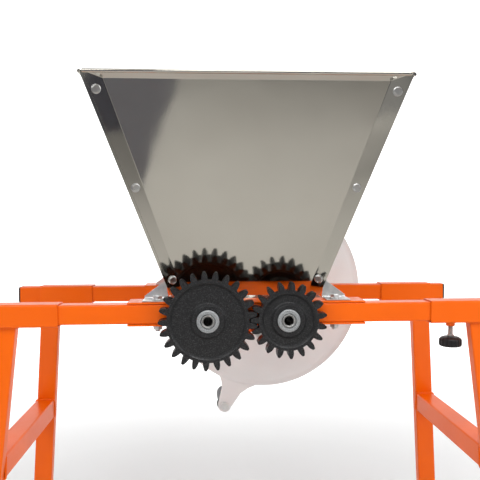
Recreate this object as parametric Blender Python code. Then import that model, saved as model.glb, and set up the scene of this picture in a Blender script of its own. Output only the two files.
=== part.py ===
"""Hand-cranked two-roller fruit crusher on a telescoping trestle frame.

Metres, +Z up, -Y is the gear side. All pieces hang from one empty that stands on the front cross tube:
X = 0 is the middle of the machine, Y = 0 the front face of that tube and Z = 0 its top face. The empty is
placed so that the world origin is on the floor, in the middle of the object's box.
"""

import math

import bmesh
import bpy
from mathutils import Matrix, Vector

# ---------------------------------------------------------------- driving dimensions, metres
GAP = 0.0003  # space left between pieces that touch

TUBE = 0.030  # cross tube, square
TUBE_WALL = 0.002
TUBE_CORNER = 0.0025
TUBE_LENGTH = 0.838
TUBE_OFFSET = 0.006  # each cross tube sticks out further at its clamp's end
NOTCH_RADIUS = 0.013  # clearance in a cross tube for a shaft
BEAM_PITCH = 0.270  # front face of the front tube to front face of the rear one
TABLE_HEIGHT = 0.560  # top of the cross tubes above the floor

SLEEVE = 0.035  # square tube that slides on a cross tube
SLEEVE_WALL = 0.0015
SLEEVE_LENGTH = 0.100
SLEEVE_INNER_END = 0.2865  # distance of a sleeve's inner end from the middle
LEG_WIDTH = 0.035
LEG_DEPTH = 0.020
LEG_WALL = 0.0015
LEG_SPLAY_X = 0.08  # outward run for each metre of drop
LEG_SPLAY_Y = 0.10
BRACE_DROP = 0.229  # top of the brace below the top of the tubes
FOOT_HEIGHT = 0.026
FOOT_WALL = 0.002
FOOT_SOLE = 0.004

SCREW_X = 0.324  # clamp screw's distance from the middle
M8 = 0.004  # shank radii
M10 = 0.005
M12 = 0.006
M8_FLATS = 0.013  # widths across flats
M10_FLATS = 0.016
M12_FLATS = 0.019
NUT_HEIGHT = 0.0065
HOLE_SLACK = 0.0005  # how much wider than its bolt a hole's radius is
KNOB_RADIUS = 0.0175
KNOB_HEIGHT = 0.0155
KNOB_TOP = -0.0570
KNOB_LOBES = 9

CHANNEL_HALF = 0.183  # half length of the channels that clamp the cross tubes
CHANNEL_DEPTH = 0.050
SHEET = 0.003  # thickness of the channels' steel
WEB_TAB_HALF = 0.098  # half width of the deeper middle of the web, which carries the shafts
WEB_TAB_DROP = 0.052
SIDE_PLATE_X = 0.122  # inner face of the plates that close the chamber
BOLT_X = 0.138
BOLT_END = -0.0430  # lower end of the through bolts
WASHER_RADIUS = 0.008
WASHER_THICKNESS = 0.0016

MODULE = 0.0055
GEAR_TEETH = 25
PINION_TEETH = 19
GEAR_FRONT = -0.028
GEAR_WIDTH = 0.022
PRESSURE_ANGLE = math.radians(20)
BACKLASH = 0.0007
MESH_TURN = 0.0011  # height of the meshing tooth above the line of centres
SHAFT_DISTANCE = MODULE * (GEAR_TEETH + PINION_TEETH) / 2
SHAFT_X = SHAFT_DISTANCE / 2
SHAFT_Z = -0.0225
SHAFT_RADIUS = 0.010
SHAFT_BORE = 0.007
SHAFT_BORE_DEPTH = 0.045
DRIVEN_SHAFT_LENGTH = 0.292
DRIVE_SHAFT_LENGTH = 0.422
DRIVE_SHAFT_THREAD = 0.020
BUSH_RADIUS = 0.017  # steel bush in each gear
GEAR_HUB_RADIUS = 0.024
GEAR_RECESS = 0.004  # depth of the web's recess on each face
BEARING_RADIUS = 0.015
BEARING_FLANGE = 0.023
ROLLER_RADIUS = 0.058
ROLLER_LENGTH = 0.184
ROLLER_FLUTES = 12
FLUTE_DEPTH = 0.006

HOPPER_BOTTOM = 0.008
HOPPER_TOP = 0.332  # height of the crease under the rim
HOPPER_BOTTOM_HALF_X = 0.099
HOPPER_TOP_HALF_X = 0.209
HOPPER_BOTTOM_Y = 0.045  # front panel's bottom edge
HOPPER_TOP_Y = -0.042
EAR = Vector((0.033, -0.012, 0.010))  # from the crease's corner out to the rim's corner
STRIP_BOTTOM = 0.020  # width of a panel's side strip at the bottom
SHEET_STEEL = 0.0012
SHEET_STEP = 0.0019  # spacing of two lapped sheets along Y
SIDE_BOTTOM = 0.024  # the side panels stop above the rollers
FOOT_PLATE = 0.0015
FOOT_PLATE_INNER_X = 0.1235
FOOT_PLATE_OUTER_X = 0.1610
FOOT_PLATE_TOP = 0.030  # top of a foot's upright

WHEEL_FACE = 0.400  # front plane of the hand wheel's rim
WHEEL_RADIUS = 0.214
WHEEL_RIM_DEPTH = 0.028
HUB_RADIUS = 0.032
HUB_FRONT = 0.338
HUB_BACK = 0.372
LUG_RADIUS = 0.272  # crank radius
LUG_ANGLE = math.radians(-108.3)  # direction of the crank, from +X towards +Z
LUG_END = 0.0145
LUG_THICKNESS = 0.012
GRIP_LENGTH = 0.105
GRIP_RADIUS = 0.015

BEAM_MIDDLE = (BEAM_PITCH + TUBE) / 2  # halfway between the front and rear tubes
SLEEVE_TOP = GAP + SLEEVE_WALL
SLEEVE_BOTTOM = SLEEVE_TOP - SLEEVE
LEG_TOP = SLEEVE_BOTTOM - GAP
LEG_X = SLEEVE_INNER_END + SLEEVE_LENGTH - LEG_WIDTH / 2
LUG_FRONT = WHEEL_FACE + 0.003
GRIP_FRONT = LUG_FRONT + LUG_THICKNESS + 0.002
CRANK_BOLT_END = GRIP_FRONT + GRIP_LENGTH + 0.010
FRONT_EXTREME = HOPPER_TOP_Y + EAR.y - SHEET_STEEL / 2
ORIGIN_Y = (FRONT_EXTREME + CRANK_BOLT_END) / 2

FRONT, REAR = "front", "rear"
LEFT, RIGHT = "left", "right"
SIGN = {LEFT: -1, RIGHT: 1}
ALONG_Y = (math.radians(-90), 0, 0)  # local +Z becomes +Y, local +Y becomes -Z
ALONG_X = (0, math.radians(90), 0)  # local +Z becomes +X


# ---------------------------------------------------------------- scene and materials
def clear_scene():
    for obj in list(bpy.data.objects):
        bpy.data.objects.remove(obj)


def material(name, colour, roughness, metallic):
    made = bpy.data.materials.new(name)
    made.use_nodes = True
    shader = made.node_tree.nodes["Principled BSDF"]
    shader.inputs["Base Color"].default_value = (*colour, 1)
    shader.inputs["Roughness"].default_value = roughness
    shader.inputs["Metallic"].default_value = metallic
    made.diffuse_color = (*colour, 1)
    return made


def new_empty(name, location, parent=None):
    empty = bpy.data.objects.new(name, None)
    empty.location = location
    empty.parent = parent
    bpy.context.collection.objects.link(empty)
    return empty


def new_object(name, mesh_maker, look, parent, location=(0, 0, 0), rotation=(0, 0, 0)):
    """An object whose mesh is filled by mesh_maker(bm)."""
    bm = bmesh.new()
    mesh_maker(bm)
    bmesh.ops.recalc_face_normals(bm, faces=bm.faces)
    mesh = bpy.data.meshes.new(name)
    bm.to_mesh(mesh)
    bm.free()
    mesh.shade_smooth()
    mesh.set_sharp_from_angle(angle=math.radians(35))
    obj = bpy.data.objects.new(name, mesh)
    obj.parent = parent
    obj.location = location
    obj.rotation_euler = rotation
    if look:
        mesh.materials.append(look)
    bpy.context.collection.objects.link(obj)
    return obj


def cut(obj, cutter, operation="DIFFERENCE"):
    """Cuts obj by a helper, or joins the helper to it."""
    cutter.hide_render = True
    cutter.display_type = "WIRE"
    boolean = obj.modifiers.new(cutter.name, "BOOLEAN")
    boolean.operation = operation
    boolean.object = cutter


# ---------------------------------------------------------------- outlines, as lists of 2-D points
def circle(radius, count, phase=0.0):
    steps = [phase + math.tau * i / count for i in range(count)]
    return [(radius * math.cos(a), radius * math.sin(a)) for a in steps]


def rounded_rectangle(width, height, corner, steps=3):
    points = []
    for quarter in range(4):
        sign_x = 1 if quarter in (0, 3) else -1
        sign_y = 1 if quarter < 2 else -1
        for i in range(steps):
            a = math.radians(90 * (quarter + i / (steps - 1)))
            x = sign_x * (width / 2 - corner) + corner * math.cos(a)
            y = sign_y * (height / 2 - corner) + corner * math.sin(a)
            points.append((x, y))
    return points


def hexagon(across_flats):
    return circle(across_flats / math.sqrt(3), 6)


def involute_tooth(teeth):
    """Half of one tooth of a spur gear, as (radius, half angle) from root to tip."""
    pitch = MODULE * teeth / 2
    base = pitch * math.cos(PRESSURE_ANGLE)
    root = pitch - 1.25 * MODULE
    tip = pitch + MODULE
    half = (math.pi * MODULE / 2 - BACKLASH) / 2 / pitch

    def half_angle(radius):
        pressure = math.acos(min(1.0, base / radius))
        at_pitch = math.tan(PRESSURE_ANGLE) - PRESSURE_ANGLE
        return half + at_pitch - (math.tan(pressure) - pressure)

    start = max(base, root) + 0.0004
    middle = (start + tip) / 2
    flank = [(root, half_angle(start) + 0.012), (start, half_angle(start)), (middle, half_angle(middle))]
    return flank + [(tip, half_angle(tip))]


def gear_outline(teeth, phase):
    """A spur gear's outline with a tooth centred at the angle phase."""
    half = involute_tooth(teeth)
    points = []
    for i in range(teeth):
        middle = phase + math.tau * i / teeth
        for radius, angle in half:
            points.append((radius * math.cos(middle - angle), radius * math.sin(middle - angle)))
        for radius, angle in reversed(half):
            points.append((radius * math.cos(middle + angle), radius * math.sin(middle + angle)))
    return points


def fluted_outline(radius, depth, flutes, phase=0.0):
    """A round outline with shallow grooves, four points to each groove."""
    points = []
    for i in range(flutes):
        start = phase + math.tau * i / flutes
        for part, drop in ((0.0, 0), (0.30, 0), (0.55, depth), (0.75, depth)):
            a = start + part * math.tau / flutes
            points.append(((radius - drop) * math.cos(a), (radius - drop) * math.sin(a)))
    return points


def lobed_outline(radius, depth):
    """The knob's outline: each lobe has two points on the radius and two below it."""
    points = []
    for i in range(4 * KNOB_LOBES):
        angle = math.tau * i / (4 * KNOB_LOBES)
        reach = radius - depth * (0, 0, 1, 1)[i % 4]
        points.append((reach * math.cos(angle), reach * math.sin(angle)))
    return points


# ---------------------------------------------------------------- solids, built along local Z
def prism(outline, low, high):
    """Fills an outline at height low and extrudes it to height high."""

    def make(bm):
        face = bm.faces.new([bm.verts.new((x, y, low)) for x, y in outline])
        grown = bmesh.ops.extrude_face_region(bm, geom=[face])
        raised = [v for v in grown["geom"] if isinstance(v, bmesh.types.BMVert)]
        bmesh.ops.translate(bm, verts=raised, vec=(0, 0, high - low))

    return make


def tube(outer, inner, low, high):
    """A hollow bar between two outlines with the same number of points."""

    def make(bm):
        rings = []
        for outline, height in ((outer, low), (outer, high), (inner, high), (inner, low)):
            rings.append([bm.verts.new((x, y, height)) for x, y in outline])
        count = len(outer)
        for ring, following in zip(rings, rings[1:] + rings[:1]):
            for i in range(count):
                j = (i + 1) % count
                bm.faces.new((ring[i], ring[j], following[j], following[i]))

    return make


def box(low, high):
    def make(bm):
        made = bmesh.ops.create_cube(bm, size=1)
        size = [h - l for l, h in zip(low, high)]
        middle = [(h + l) / 2 for l, h in zip(low, high)]
        bmesh.ops.scale(bm, verts=made["verts"], vec=size)
        bmesh.ops.translate(bm, verts=made["verts"], vec=middle)

    return make


def turned(profile, segments):
    """Spins a closed profile of (radius, height) points round Z. Points on the axis are welded."""

    def make(bm):
        ring = [bm.verts.new((r, 0, z)) for r, z in profile]
        edges = [bm.edges.new((a, b)) for a, b in zip(ring, ring[1:] + ring[:1])]
        axis = ((0, 0, 0), (0, 0, 1))
        spun = {"cent": axis[0], "axis": axis[1], "angle": math.tau, "steps": segments}
        bmesh.ops.spin(bm, geom=ring + edges, use_merge=True, use_normal_flip=False, **spun)
        bmesh.ops.remove_doubles(bm, verts=bm.verts, dist=0.00001)

    return make


def sheet(points, faces):
    """A surface of flat faces. A Solidify modifier gives it its thickness."""

    def make(bm):
        verts = [bm.verts.new(p) for p in points]
        for face in faces:
            bm.faces.new([verts[i] for i in face])

    return make


def drill(target, name, parent, radius, location, rotation, low, high, count=20):
    """Cuts a round hole through a piece."""
    cutter = new_object(name, prism(circle(radius, count), low, high), None, parent, location, rotation)
    cut(target, cutter)


# ---------------------------------------------------------------- the frame's fixed middle
def build_cross_tube(end, middle, looks):
    start_y = 0 if end == FRONT else BEAM_PITCH
    offset = TUBE_OFFSET if end == FRONT else -TUBE_OFFSET
    centre = (offset, start_y + TUBE / 2, -TUBE / 2)
    outer = rounded_rectangle(TUBE, TUBE, TUBE_CORNER)
    inner = rounded_rectangle(TUBE - 2 * TUBE_WALL, TUBE - 2 * TUBE_WALL, 0.001)
    half = TUBE_LENGTH / 2
    made = tube(outer, inner, -half, half)
    solid = new_object(f"{end}_cross_tube", made, looks["paint"], middle, centre, ALONG_X)
    shafts = (-SHAFT_X, SHAFT_X) if end == FRONT else (SHAFT_X,)
    for number, x in enumerate(shafts):
        at = (x, start_y, SHAFT_Z)
        name = f"{end}_tube_notch_{number}"
        drill(solid, name, middle, NOTCH_RADIUS, at, ALONG_Y, -0.005, TUBE + 0.005)
    for side in (LEFT, RIGHT):
        at = (SIGN[side] * BOLT_X, start_y + TUBE / 2, 0)
        drill(solid, f"{end}_tube_hole_{side}", middle, M8 + HOLE_SLACK, at, (0, 0, 0), -0.04, 0.01, 16)
        build_tube_cap(end, side, centre, half, middle, looks)


def build_tube_cap(end, side, centre, half, middle, looks):
    """Moulded plug in the end of a cross tube: a square head and a stub with tapered corners."""
    stub = TUBE - 2 * TUBE_WALL - 2 * GAP

    def make(bm):
        rings = []
        levels = (
            (stub - 0.003, 0.002, -0.018),
            (stub, 0.001, -0.014),
            (stub, 0.001, GAP),
            (TUBE, TUBE_CORNER, GAP),
            (TUBE, TUBE_CORNER, 0.0020),
            (TUBE - 0.004, TUBE_CORNER, 0.0036),
        )
        for width, corner, height in levels:
            outline = rounded_rectangle(width, width, corner)
            rings.append([bm.verts.new((x, y, height)) for x, y in outline])
        for low, high in zip(rings, rings[1:]):
            for i in range(len(low)):
                j = (i + 1) % len(low)
                bm.faces.new((low[i], low[j], high[j], high[i]))
        bm.faces.new(rings[0])
        bm.faces.new(rings[-1])

    where = (centre[0] + SIGN[side] * half, centre[1], centre[2])
    turn = (0, SIGN[side] * math.radians(90), 0)
    new_object(f"tube_cap_{end}_{side}", make, looks["plastic"], middle, where, turn)


def build_channel(end, middle, looks):
    """Folded channel that clamps a cross tube. Its web is deeper in the middle, where the shafts pass."""
    face = -0.0005 if end == FRONT else BEAM_PITCH + TUBE + 0.0005
    away = 1 if end == FRONT else -1

    def across(low, high):
        """Y range at the given distances behind the channel's open edge."""
        return sorted((face + away * low, face + away * high))

    top, under = GAP, -TUBE - GAP
    flange_y = across(0, CHANNEL_DEPTH)
    low, high = (-CHANNEL_HALF, flange_y[0], top), (CHANNEL_HALF, flange_y[1], top + SHEET)
    solid = new_object(f"{end}_channel", box(low, high), looks["paint"], middle)
    low, high = (-CHANNEL_HALF, flange_y[0], under - SHEET), (CHANNEL_HALF, flange_y[1], under)
    cut(solid, new_object(f"{end}_lower_flange", box(low, high), None, middle), "UNION")

    corner = 0.012
    half, tab = CHANNEL_HALF, WEB_TAB_HALF
    base, drop = under - SHEET, -WEB_TAB_DROP
    outline = [(-half, top + SHEET), (-half, base), (-tab - corner, base), (-tab, drop)]
    outline += [(tab, drop), (tab + corner, base), (half, base), (half, top + SHEET)]
    web_y = across(CHANNEL_DEPTH - SHEET, CHANNEL_DEPTH)
    mirrored = [(x, -z) for x, z in outline]
    web = new_object(f"{end}_web", prism(mirrored, web_y[0], web_y[1]), None, middle, (0, 0, 0), ALONG_Y)
    cut(solid, web, "UNION")

    for side in (LEFT, RIGHT):
        x = SIGN[side] * SHAFT_X
        at = (x, flange_y[0], SHAFT_Z)
        radius = BEARING_RADIUS + GAP
        drill(solid, f"{end}_web_hole_{side}", middle, radius, at, ALONG_Y, -0.01, CHANNEL_DEPTH + 0.01)
        at = (SIGN[side] * BOLT_X, bolt_y(end), 0)
        drill(solid, f"{end}_flange_hole_{side}", middle, M8 + HOLE_SLACK, at, (0, 0, 0), -0.05, 0.01, 16)


def bolt_y(end):
    return TUBE / 2 if end == FRONT else BEAM_PITCH + TUBE / 2


def build_side_plate(side, middle, looks):
    """Plate that ties the two channels and closes the chamber beside a roller."""
    inner = SIDE_PLATE_X
    xs = sorted((SIGN[side] * inner, SIGN[side] * (inner + SHEET)))
    front = CHANNEL_DEPTH - 0.0005 + GAP
    back = BEAM_PITCH + TUBE - front
    low = (xs[0], front, -TUBE - GAP - SHEET)
    new_object(f"side_plate_{side}", box(low, (xs[1], back, SHEET + GAP)), looks["paint"], middle)


def build_base_bolt(end, side, middle, looks):
    """Through bolt with its washer and nut, which holds a hopper foot and a channel to a cross tube."""
    seat = SHEET + 3 * GAP + FOOT_PLATE
    nut_top = -TUBE - SHEET - 2 * GAP
    where = (SIGN[side] * BOLT_X, bolt_y(end), 0)
    shank = prism(circle(M8, 14), BOLT_END, seat + 0.004)
    solid = new_object(f"base_bolt_{end}_{side}", shank, looks["zinc"], middle, where)
    pieces = {
        "washer": prism(circle(WASHER_RADIUS, 20), seat, seat + WASHER_THICKNESS),
        "head": prism(hexagon(M8_FLATS), seat + WASHER_THICKNESS - 0.0002, seat + 0.0069),
        "nut": prism(hexagon(M8_FLATS), nut_top - NUT_HEIGHT, nut_top),
    }
    for name, make in pieces.items():
        cut(solid, new_object(f"{solid.name}_{name}", make, None, middle, where), "UNION")


# ---------------------------------------------------------------- hopper
def hopper_corners():
    """Right half of the front panel's middle surface: crease bottom, crease top, rim corner, strip bottom."""
    bottom = Vector((HOPPER_BOTTOM_HALF_X, HOPPER_BOTTOM_Y, HOPPER_BOTTOM))
    top = Vector((HOPPER_TOP_HALF_X, HOPPER_TOP_Y, HOPPER_TOP))
    ear = top + EAR
    crease = top - bottom
    outward = (EAR - crease * (EAR.dot(crease) / crease.length_squared)).normalized() * STRIP_BOTTOM
    strip = bottom + outward - crease * (outward.z / crease.z)
    return bottom, top, ear, strip


def flip_x(point):
    return Vector((-point.x, point.y, point.z))


def flip_y(point):
    return Vector((point.x, 2 * BEAM_MIDDLE - point.y, point.z))


def solidify(obj):
    thick = obj.modifiers.new("sheet", "SOLIDIFY")
    thick.thickness = SHEET_STEEL
    thick.offset = 0
    thick.use_even_offset = True


def build_end_panel(end, middle, looks):
    """Front or rear hopper sheet: the panel, a strip down each side and a rim flared outward, mitred."""
    bottom, top, ear, strip = hopper_corners()
    points = [flip_x(bottom), bottom, top, flip_x(top), strip, ear, flip_x(ear), flip_x(strip)]
    if end == REAR:
        points = [flip_y(p) for p in points]
    faces = [(0, 1, 2, 3), (1, 4, 5, 2), (3, 2, 5, 6), (0, 3, 6, 7)]
    if end == REAR:
        faces = [tuple(reversed(f)) for f in faces]
    solidify(new_object(f"hopper_{end}", sheet(points, faces), looks["stainless"], middle))


def build_side_panel(side, middle, looks):
    """Side hopper sheet, whose flanges lap behind the strips of the front and rear sheets."""
    bottom, top, ear, strip = hopper_corners()
    lap = Vector((0, SHEET_STEP, 0))
    rise = (SIDE_BOTTOM - HOPPER_BOTTOM) / (HOPPER_TOP - HOPPER_BOTTOM)
    corner = bottom.lerp(top, rise)
    points = [p + lap for p in (corner, top, ear, strip)]
    points += [flip_y(p) for p in points]
    faces = [(0, 4, 5, 1), (0, 1, 2, 3), (4, 7, 6, 5), (1, 5, 6, 2)]
    if side == LEFT:
        points = [flip_x(p) for p in points]
        faces = [tuple(reversed(f)) for f in faces]
    solidify(new_object(f"hopper_{side}", sheet(points, faces), looks["stainless"], middle))


def build_hopper_foot(end, side, middle, looks):
    """Bent foot at a corner of the hopper: a base under the bolt and a triangular upright behind it."""
    base_z = SHEET + 2 * GAP
    inner_x, outer_x = FOOT_PLATE_INNER_X, FOOT_PLATE_OUTER_X
    front_y, back_y = 0.004, HOPPER_BOTTOM_Y + 0.0005

    def place(x, y):
        x *= SIGN[side]
        return (x, y) if end == FRONT else (x, 2 * BEAM_MIDDLE - y)

    low_x, low_y = place(inner_x, front_y)
    high_x, high_y = place(outer_x, back_y)
    low = (min(low_x, high_x), min(low_y, high_y), base_z)
    high = (max(low_x, high_x), max(low_y, high_y), base_z + FOOT_PLATE)
    solid = new_object(f"hopper_foot_{end}_{side}", box(low, high), looks["zinc"], middle)

    ys = sorted(place(0, y)[1] for y in (back_y, back_y - FOOT_PLATE))
    outline = [(inner_x, base_z), (outer_x, base_z)]
    outline += [(inner_x + 0.008, FOOT_PLATE_TOP), (inner_x + 0.004, FOOT_PLATE_TOP)]
    mirrored = [(SIGN[side] * x, -z) for x, z in outline]
    upright = new_object(f"{solid.name}_upright", prism(mirrored, *ys), None, middle, (0, 0, 0), ALONG_Y)
    cut(solid, upright, "UNION")
    at = (SIGN[side] * BOLT_X, bolt_y(end), 0)
    drill(solid, f"{solid.name}_hole", middle, M8 + HOLE_SLACK, at, (0, 0, 0), 0, 0.02, 16)


# ---------------------------------------------------------------- rollers, gears and their shafts
def build_bearing(end, side, middle, looks):
    """Flanged plain bearing in a channel's web."""
    bore = SHAFT_RADIUS + GAP
    web = CHANNEL_DEPTH - 0.0005
    outline = [(bore, -0.006), (BEARING_RADIUS, -0.006), (BEARING_RADIUS, GAP), (BEARING_FLANGE, GAP)]
    outline += [(BEARING_FLANGE, 0.0045), (bore, 0.0045)]
    if end == FRONT:
        where, turn = (SIGN[side] * SHAFT_X, web, SHAFT_Z), ALONG_Y
    else:
        where = (SIGN[side] * SHAFT_X, 2 * BEAM_MIDDLE - web, SHAFT_Z)
        turn = (math.radians(90), 0, 0)
    new_object(f"bearing_{end}_{side}", turned(outline, 20), looks["bronze"], middle, where, turn)


def build_shaft(name, length, tail, axis, looks):
    """Shaft with a deep bore in its front end. tail is the length of the thinner threaded end, or 0."""
    front = GEAR_FRONT - 0.002
    end = front + length
    profile = [(0, front + SHAFT_BORE_DEPTH), (SHAFT_BORE, front + SHAFT_BORE_DEPTH), (SHAFT_BORE, front)]
    profile += [(SHAFT_RADIUS - 0.001, front), (SHAFT_RADIUS, front + 0.001)]
    if tail:
        profile += [(SHAFT_RADIUS, end - tail), (M12, end - tail), (M12, end), (0, end)]
    else:
        profile += [(SHAFT_RADIUS, end), (0, end)]
    new_object(name, turned(profile, 20), looks["steel"], axis, (0, 0, 0), ALONG_Y)


def build_roller(name, axis, phase, looks):
    """Fluted crushing roller on its shaft."""
    start = BEAM_MIDDLE - ROLLER_LENGTH / 2
    outer = fluted_outline(ROLLER_RADIUS, FLUTE_DEPTH, ROLLER_FLUTES, phase)
    inner = circle(SHAFT_RADIUS + GAP, len(outer), phase)
    made = tube(outer, inner, start, start + ROLLER_LENGTH)
    new_object(name, made, looks["aluminium"], axis, (0, 0, 0), ALONG_Y)


def build_gear(name, teeth, phase, axis, looks):
    """Spur gear with a web recessed between its rim and its hub, on both faces."""
    back = GEAR_FRONT + GEAR_WIDTH
    solid = prism(gear_outline(teeth, phase), GEAR_FRONT, back)
    gear = new_object(name, solid, looks["gear"], axis, rotation=ALONG_Y)
    rim, hub = MODULE * teeth / 2 - 2.0 * MODULE, GEAR_HUB_RADIUS
    for low, high in ((GEAR_FRONT - 0.001, GEAR_FRONT + GEAR_RECESS), (back - GEAR_RECESS, back + 0.001)):
        outline = [(hub, low), (rim, low), (rim, high), (hub, high)]
        cut(gear, new_object(f"{name}_recess", turned(outline, 32), None, axis, rotation=ALONG_Y))
    low, high = GEAR_FRONT - 0.01, back + 0.01
    drill(gear, f"{name}_bore", axis, BUSH_RADIUS + GAP, (0, 0, 0), ALONG_Y, low, high, 24)
    front = GEAR_FRONT - 0.0015
    outline = [(SHAFT_RADIUS + GAP, front), (BUSH_RADIUS - 0.001, front), (BUSH_RADIUS, front + 0.001)]
    outline += [(BUSH_RADIUS, back), (SHAFT_RADIUS + GAP, back)]
    new_object(f"{name}_bush", turned(outline, 24), looks["steel"], axis, (0, 0, 0), ALONG_Y)


def build_driven(middle, looks):
    axis = new_empty("driven_axis", (-SHAFT_X, 0, SHAFT_Z), middle)
    tooth_gap = MESH_TURN / (MODULE * GEAR_TEETH / 2)
    # ALONG_Y turns local +Y to world -Z, so an angle up from +X is negative here.
    build_gear("driven_gear", GEAR_TEETH, -tooth_gap + math.pi / GEAR_TEETH, axis, looks)
    build_shaft("driven_shaft", DRIVEN_SHAFT_LENGTH, 0, axis, looks)
    build_roller("driven_roller", axis, 0.1, looks)


def build_drive(middle, looks):
    axis = new_empty("drive_axis", (SHAFT_X, 0, SHAFT_Z), middle)
    tooth = math.pi + MESH_TURN / (MODULE * PINION_TEETH / 2)
    build_gear("drive_pinion", PINION_TEETH, tooth, axis, looks)
    build_shaft("drive_shaft", DRIVE_SHAFT_LENGTH, DRIVE_SHAFT_THREAD, axis, looks)
    build_roller("drive_roller", axis, 0.25, looks)
    build_hand_wheel(axis, looks)


# ---------------------------------------------------------------- hand wheel and crank
def build_hand_wheel(axis, looks):
    """Moulded dished wheel. A lug at its rim carries the crank bolt."""
    bore = SHAFT_RADIUS + GAP
    wall = 0.004
    rim_back = WHEEL_FACE + WHEEL_RIM_DEPTH
    front = [(bore, HUB_FRONT), (HUB_RADIUS - 0.002, HUB_FRONT), (HUB_RADIUS, HUB_FRONT + 0.002)]
    front += [(HUB_RADIUS + 0.002, 0.352), (0.110, 0.362), (0.172, 0.378), (0.200, 0.3955)]
    front += [(0.208, WHEEL_FACE), (WHEEL_RADIUS, WHEEL_FACE + 0.001), (WHEEL_RADIUS, rim_back)]
    back = [(WHEEL_RADIUS - wall, rim_back), (WHEEL_RADIUS - wall, 0.405), (0.197, 0.3995)]
    back += [(0.171, 0.382), (0.109, 0.366), (HUB_RADIUS, 0.356), (HUB_RADIUS, HUB_BACK), (bore, HUB_BACK)]
    wheel = new_object("hand_wheel", turned(front + back, 48), looks["wheel"], axis, rotation=ALONG_Y)

    lug = prism(lug_outline(), LUG_FRONT, LUG_FRONT + LUG_THICKNESS)
    cut(wheel, new_object("lug", lug, None, axis, rotation=ALONG_Y), "UNION")
    crank_x, crank_z = LUG_RADIUS * math.cos(LUG_ANGLE), LUG_RADIUS * math.sin(LUG_ANGLE)
    crank = new_empty("crank_axis", (crank_x, 0, crank_z), axis)
    drill(wheel, "lug_hole", crank, M10 + GAP, (0, 0, 0), ALONG_Y, LUG_FRONT - 0.01, LUG_FRONT + 0.03, 20)

    nut_front = HUB_BACK + GAP
    nut = hollow_nut(M12_FLATS, M12 + GAP, nut_front, nut_front + 0.010, 0.0125, 0.002)
    new_object("wheel_nut", nut, looks["zinc"], axis, rotation=ALONG_Y)
    build_crank(crank, looks)


def lug_outline():
    """Tapered lug in the wheel's plane, seen from the front, with its wide end inside the rim."""
    along = Vector((math.cos(LUG_ANGLE), math.sin(LUG_ANGLE)))
    side = Vector((-along.y, along.x))
    root = 0.2115
    points = [along * root * 0.985 - side * 0.034, along * (root + 0.022) - side * 0.019]
    for i in range(9):
        a = math.radians(-90 + 180 * i / 8)
        points.append(along * (LUG_RADIUS + LUG_END * math.cos(a)) + side * LUG_END * math.sin(a))
    points += [along * (root + 0.022) + side * 0.028, along * root * 0.96 + side * 0.058]
    return [(p.x, -p.y) for p in points]


def hollow_nut(across_flats, bore, low, high, washer, washer_height):
    """Hexagon nut on a round collar, with a bore."""

    def make(bm):
        count = 24
        hexagonal = []
        for i in range(count):
            a = math.tau * i / count
            within = (a % (math.pi / 3)) - math.pi / 6
            radius = across_flats / 2 / math.cos(within)
            hexagonal.append((radius * math.cos(a), radius * math.sin(a)))
        step = low + washer_height
        levels = [(circle(bore, count), low), (circle(washer, count), low), (circle(washer, count), step)]
        levels += [(hexagonal, step), (hexagonal, high), (circle(bore, count), high)]
        rings = [[bm.verts.new((x, y, z)) for x, y in outline] for outline, z in levels]
        for ring, following in zip(rings, rings[1:] + rings[:1]):
            for i in range(count):
                j = (i + 1) % count
                bm.faces.new((ring[i], ring[j], following[j], following[i]))

    return make


def build_crank(crank, looks):
    """Bolt through the lug and the grip that turns on it."""
    head_seat = LUG_FRONT - GAP
    shank = prism(circle(M10, 18), head_seat - 0.003, CRANK_BOLT_END - 0.001)
    bolt = new_object("crank_bolt", shank, looks["zinc"], crank, rotation=ALONG_Y)
    nut_front = GRIP_FRONT + GRIP_LENGTH + GAP * 2
    pieces = {
        "head": prism(hexagon(M10_FLATS), head_seat - NUT_HEIGHT, head_seat),
        "cap_nut": prism(hexagon(M10_FLATS), nut_front, CRANK_BOLT_END),
    }
    for name, make in pieces.items():
        cut(bolt, new_object(f"crank_bolt_{name}", make, None, crank, rotation=ALONG_Y), "UNION")
    bore = M10 + GAP
    back = GRIP_FRONT + GRIP_LENGTH
    middle = (GRIP_FRONT + back) / 2
    outline = [(bore, GRIP_FRONT), (0.014, GRIP_FRONT), (0.0165, GRIP_FRONT + 0.003)]
    outline += [(0.0165, GRIP_FRONT + 0.007), (0.0125, GRIP_FRONT + 0.014), (GRIP_RADIUS, middle)]
    outline += [(0.0160, back - 0.020), (0.0140, back - 0.006), (0.0105, back), (bore, back)]
    new_object("crank_grip", turned(outline, 18), looks["plastic"], crank, rotation=ALONG_Y)


# ---------------------------------------------------------------- telescoping end frames
def shear(make, top):
    """Leans a solid outward in X and forward in -Y as it goes down from the height top."""

    def leaned(bm):
        make(bm)
        for v in bm.verts:
            drop = top - v.co.z
            v.co.x += LEG_SPLAY_X * drop
            v.co.y -= LEG_SPLAY_Y * drop

    return leaned


def build_end_frame(side, origin, looks):
    """One trestle end, built for the right side. The left one is the same frame turned half round."""
    middle_y = BEAM_MIDDLE
    turn = 0 if side == RIGHT else math.pi
    end_empty = new_empty(f"{side}_end_frame", (0, middle_y, 0), origin)
    end_empty.rotation_euler = (0, 0, turn)
    near, far = (FRONT, REAR) if side == RIGHT else (REAR, FRONT)
    beam = middle_y - TUBE / 2  # a beam's distance from the middle, along Y
    build_sleeve(side, near, -beam, True, end_empty, looks)
    build_sleeve(side, far, beam, False, end_empty, looks)
    build_leg(side, near, -beam, 1, end_empty, looks)
    build_leg(side, far, beam, -1, end_empty, looks)
    build_brace(side, beam, end_empty, looks)
    build_weld_nut(side, -beam, end_empty, looks)
    build_clamp(side, -beam, end_empty, looks)


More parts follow.
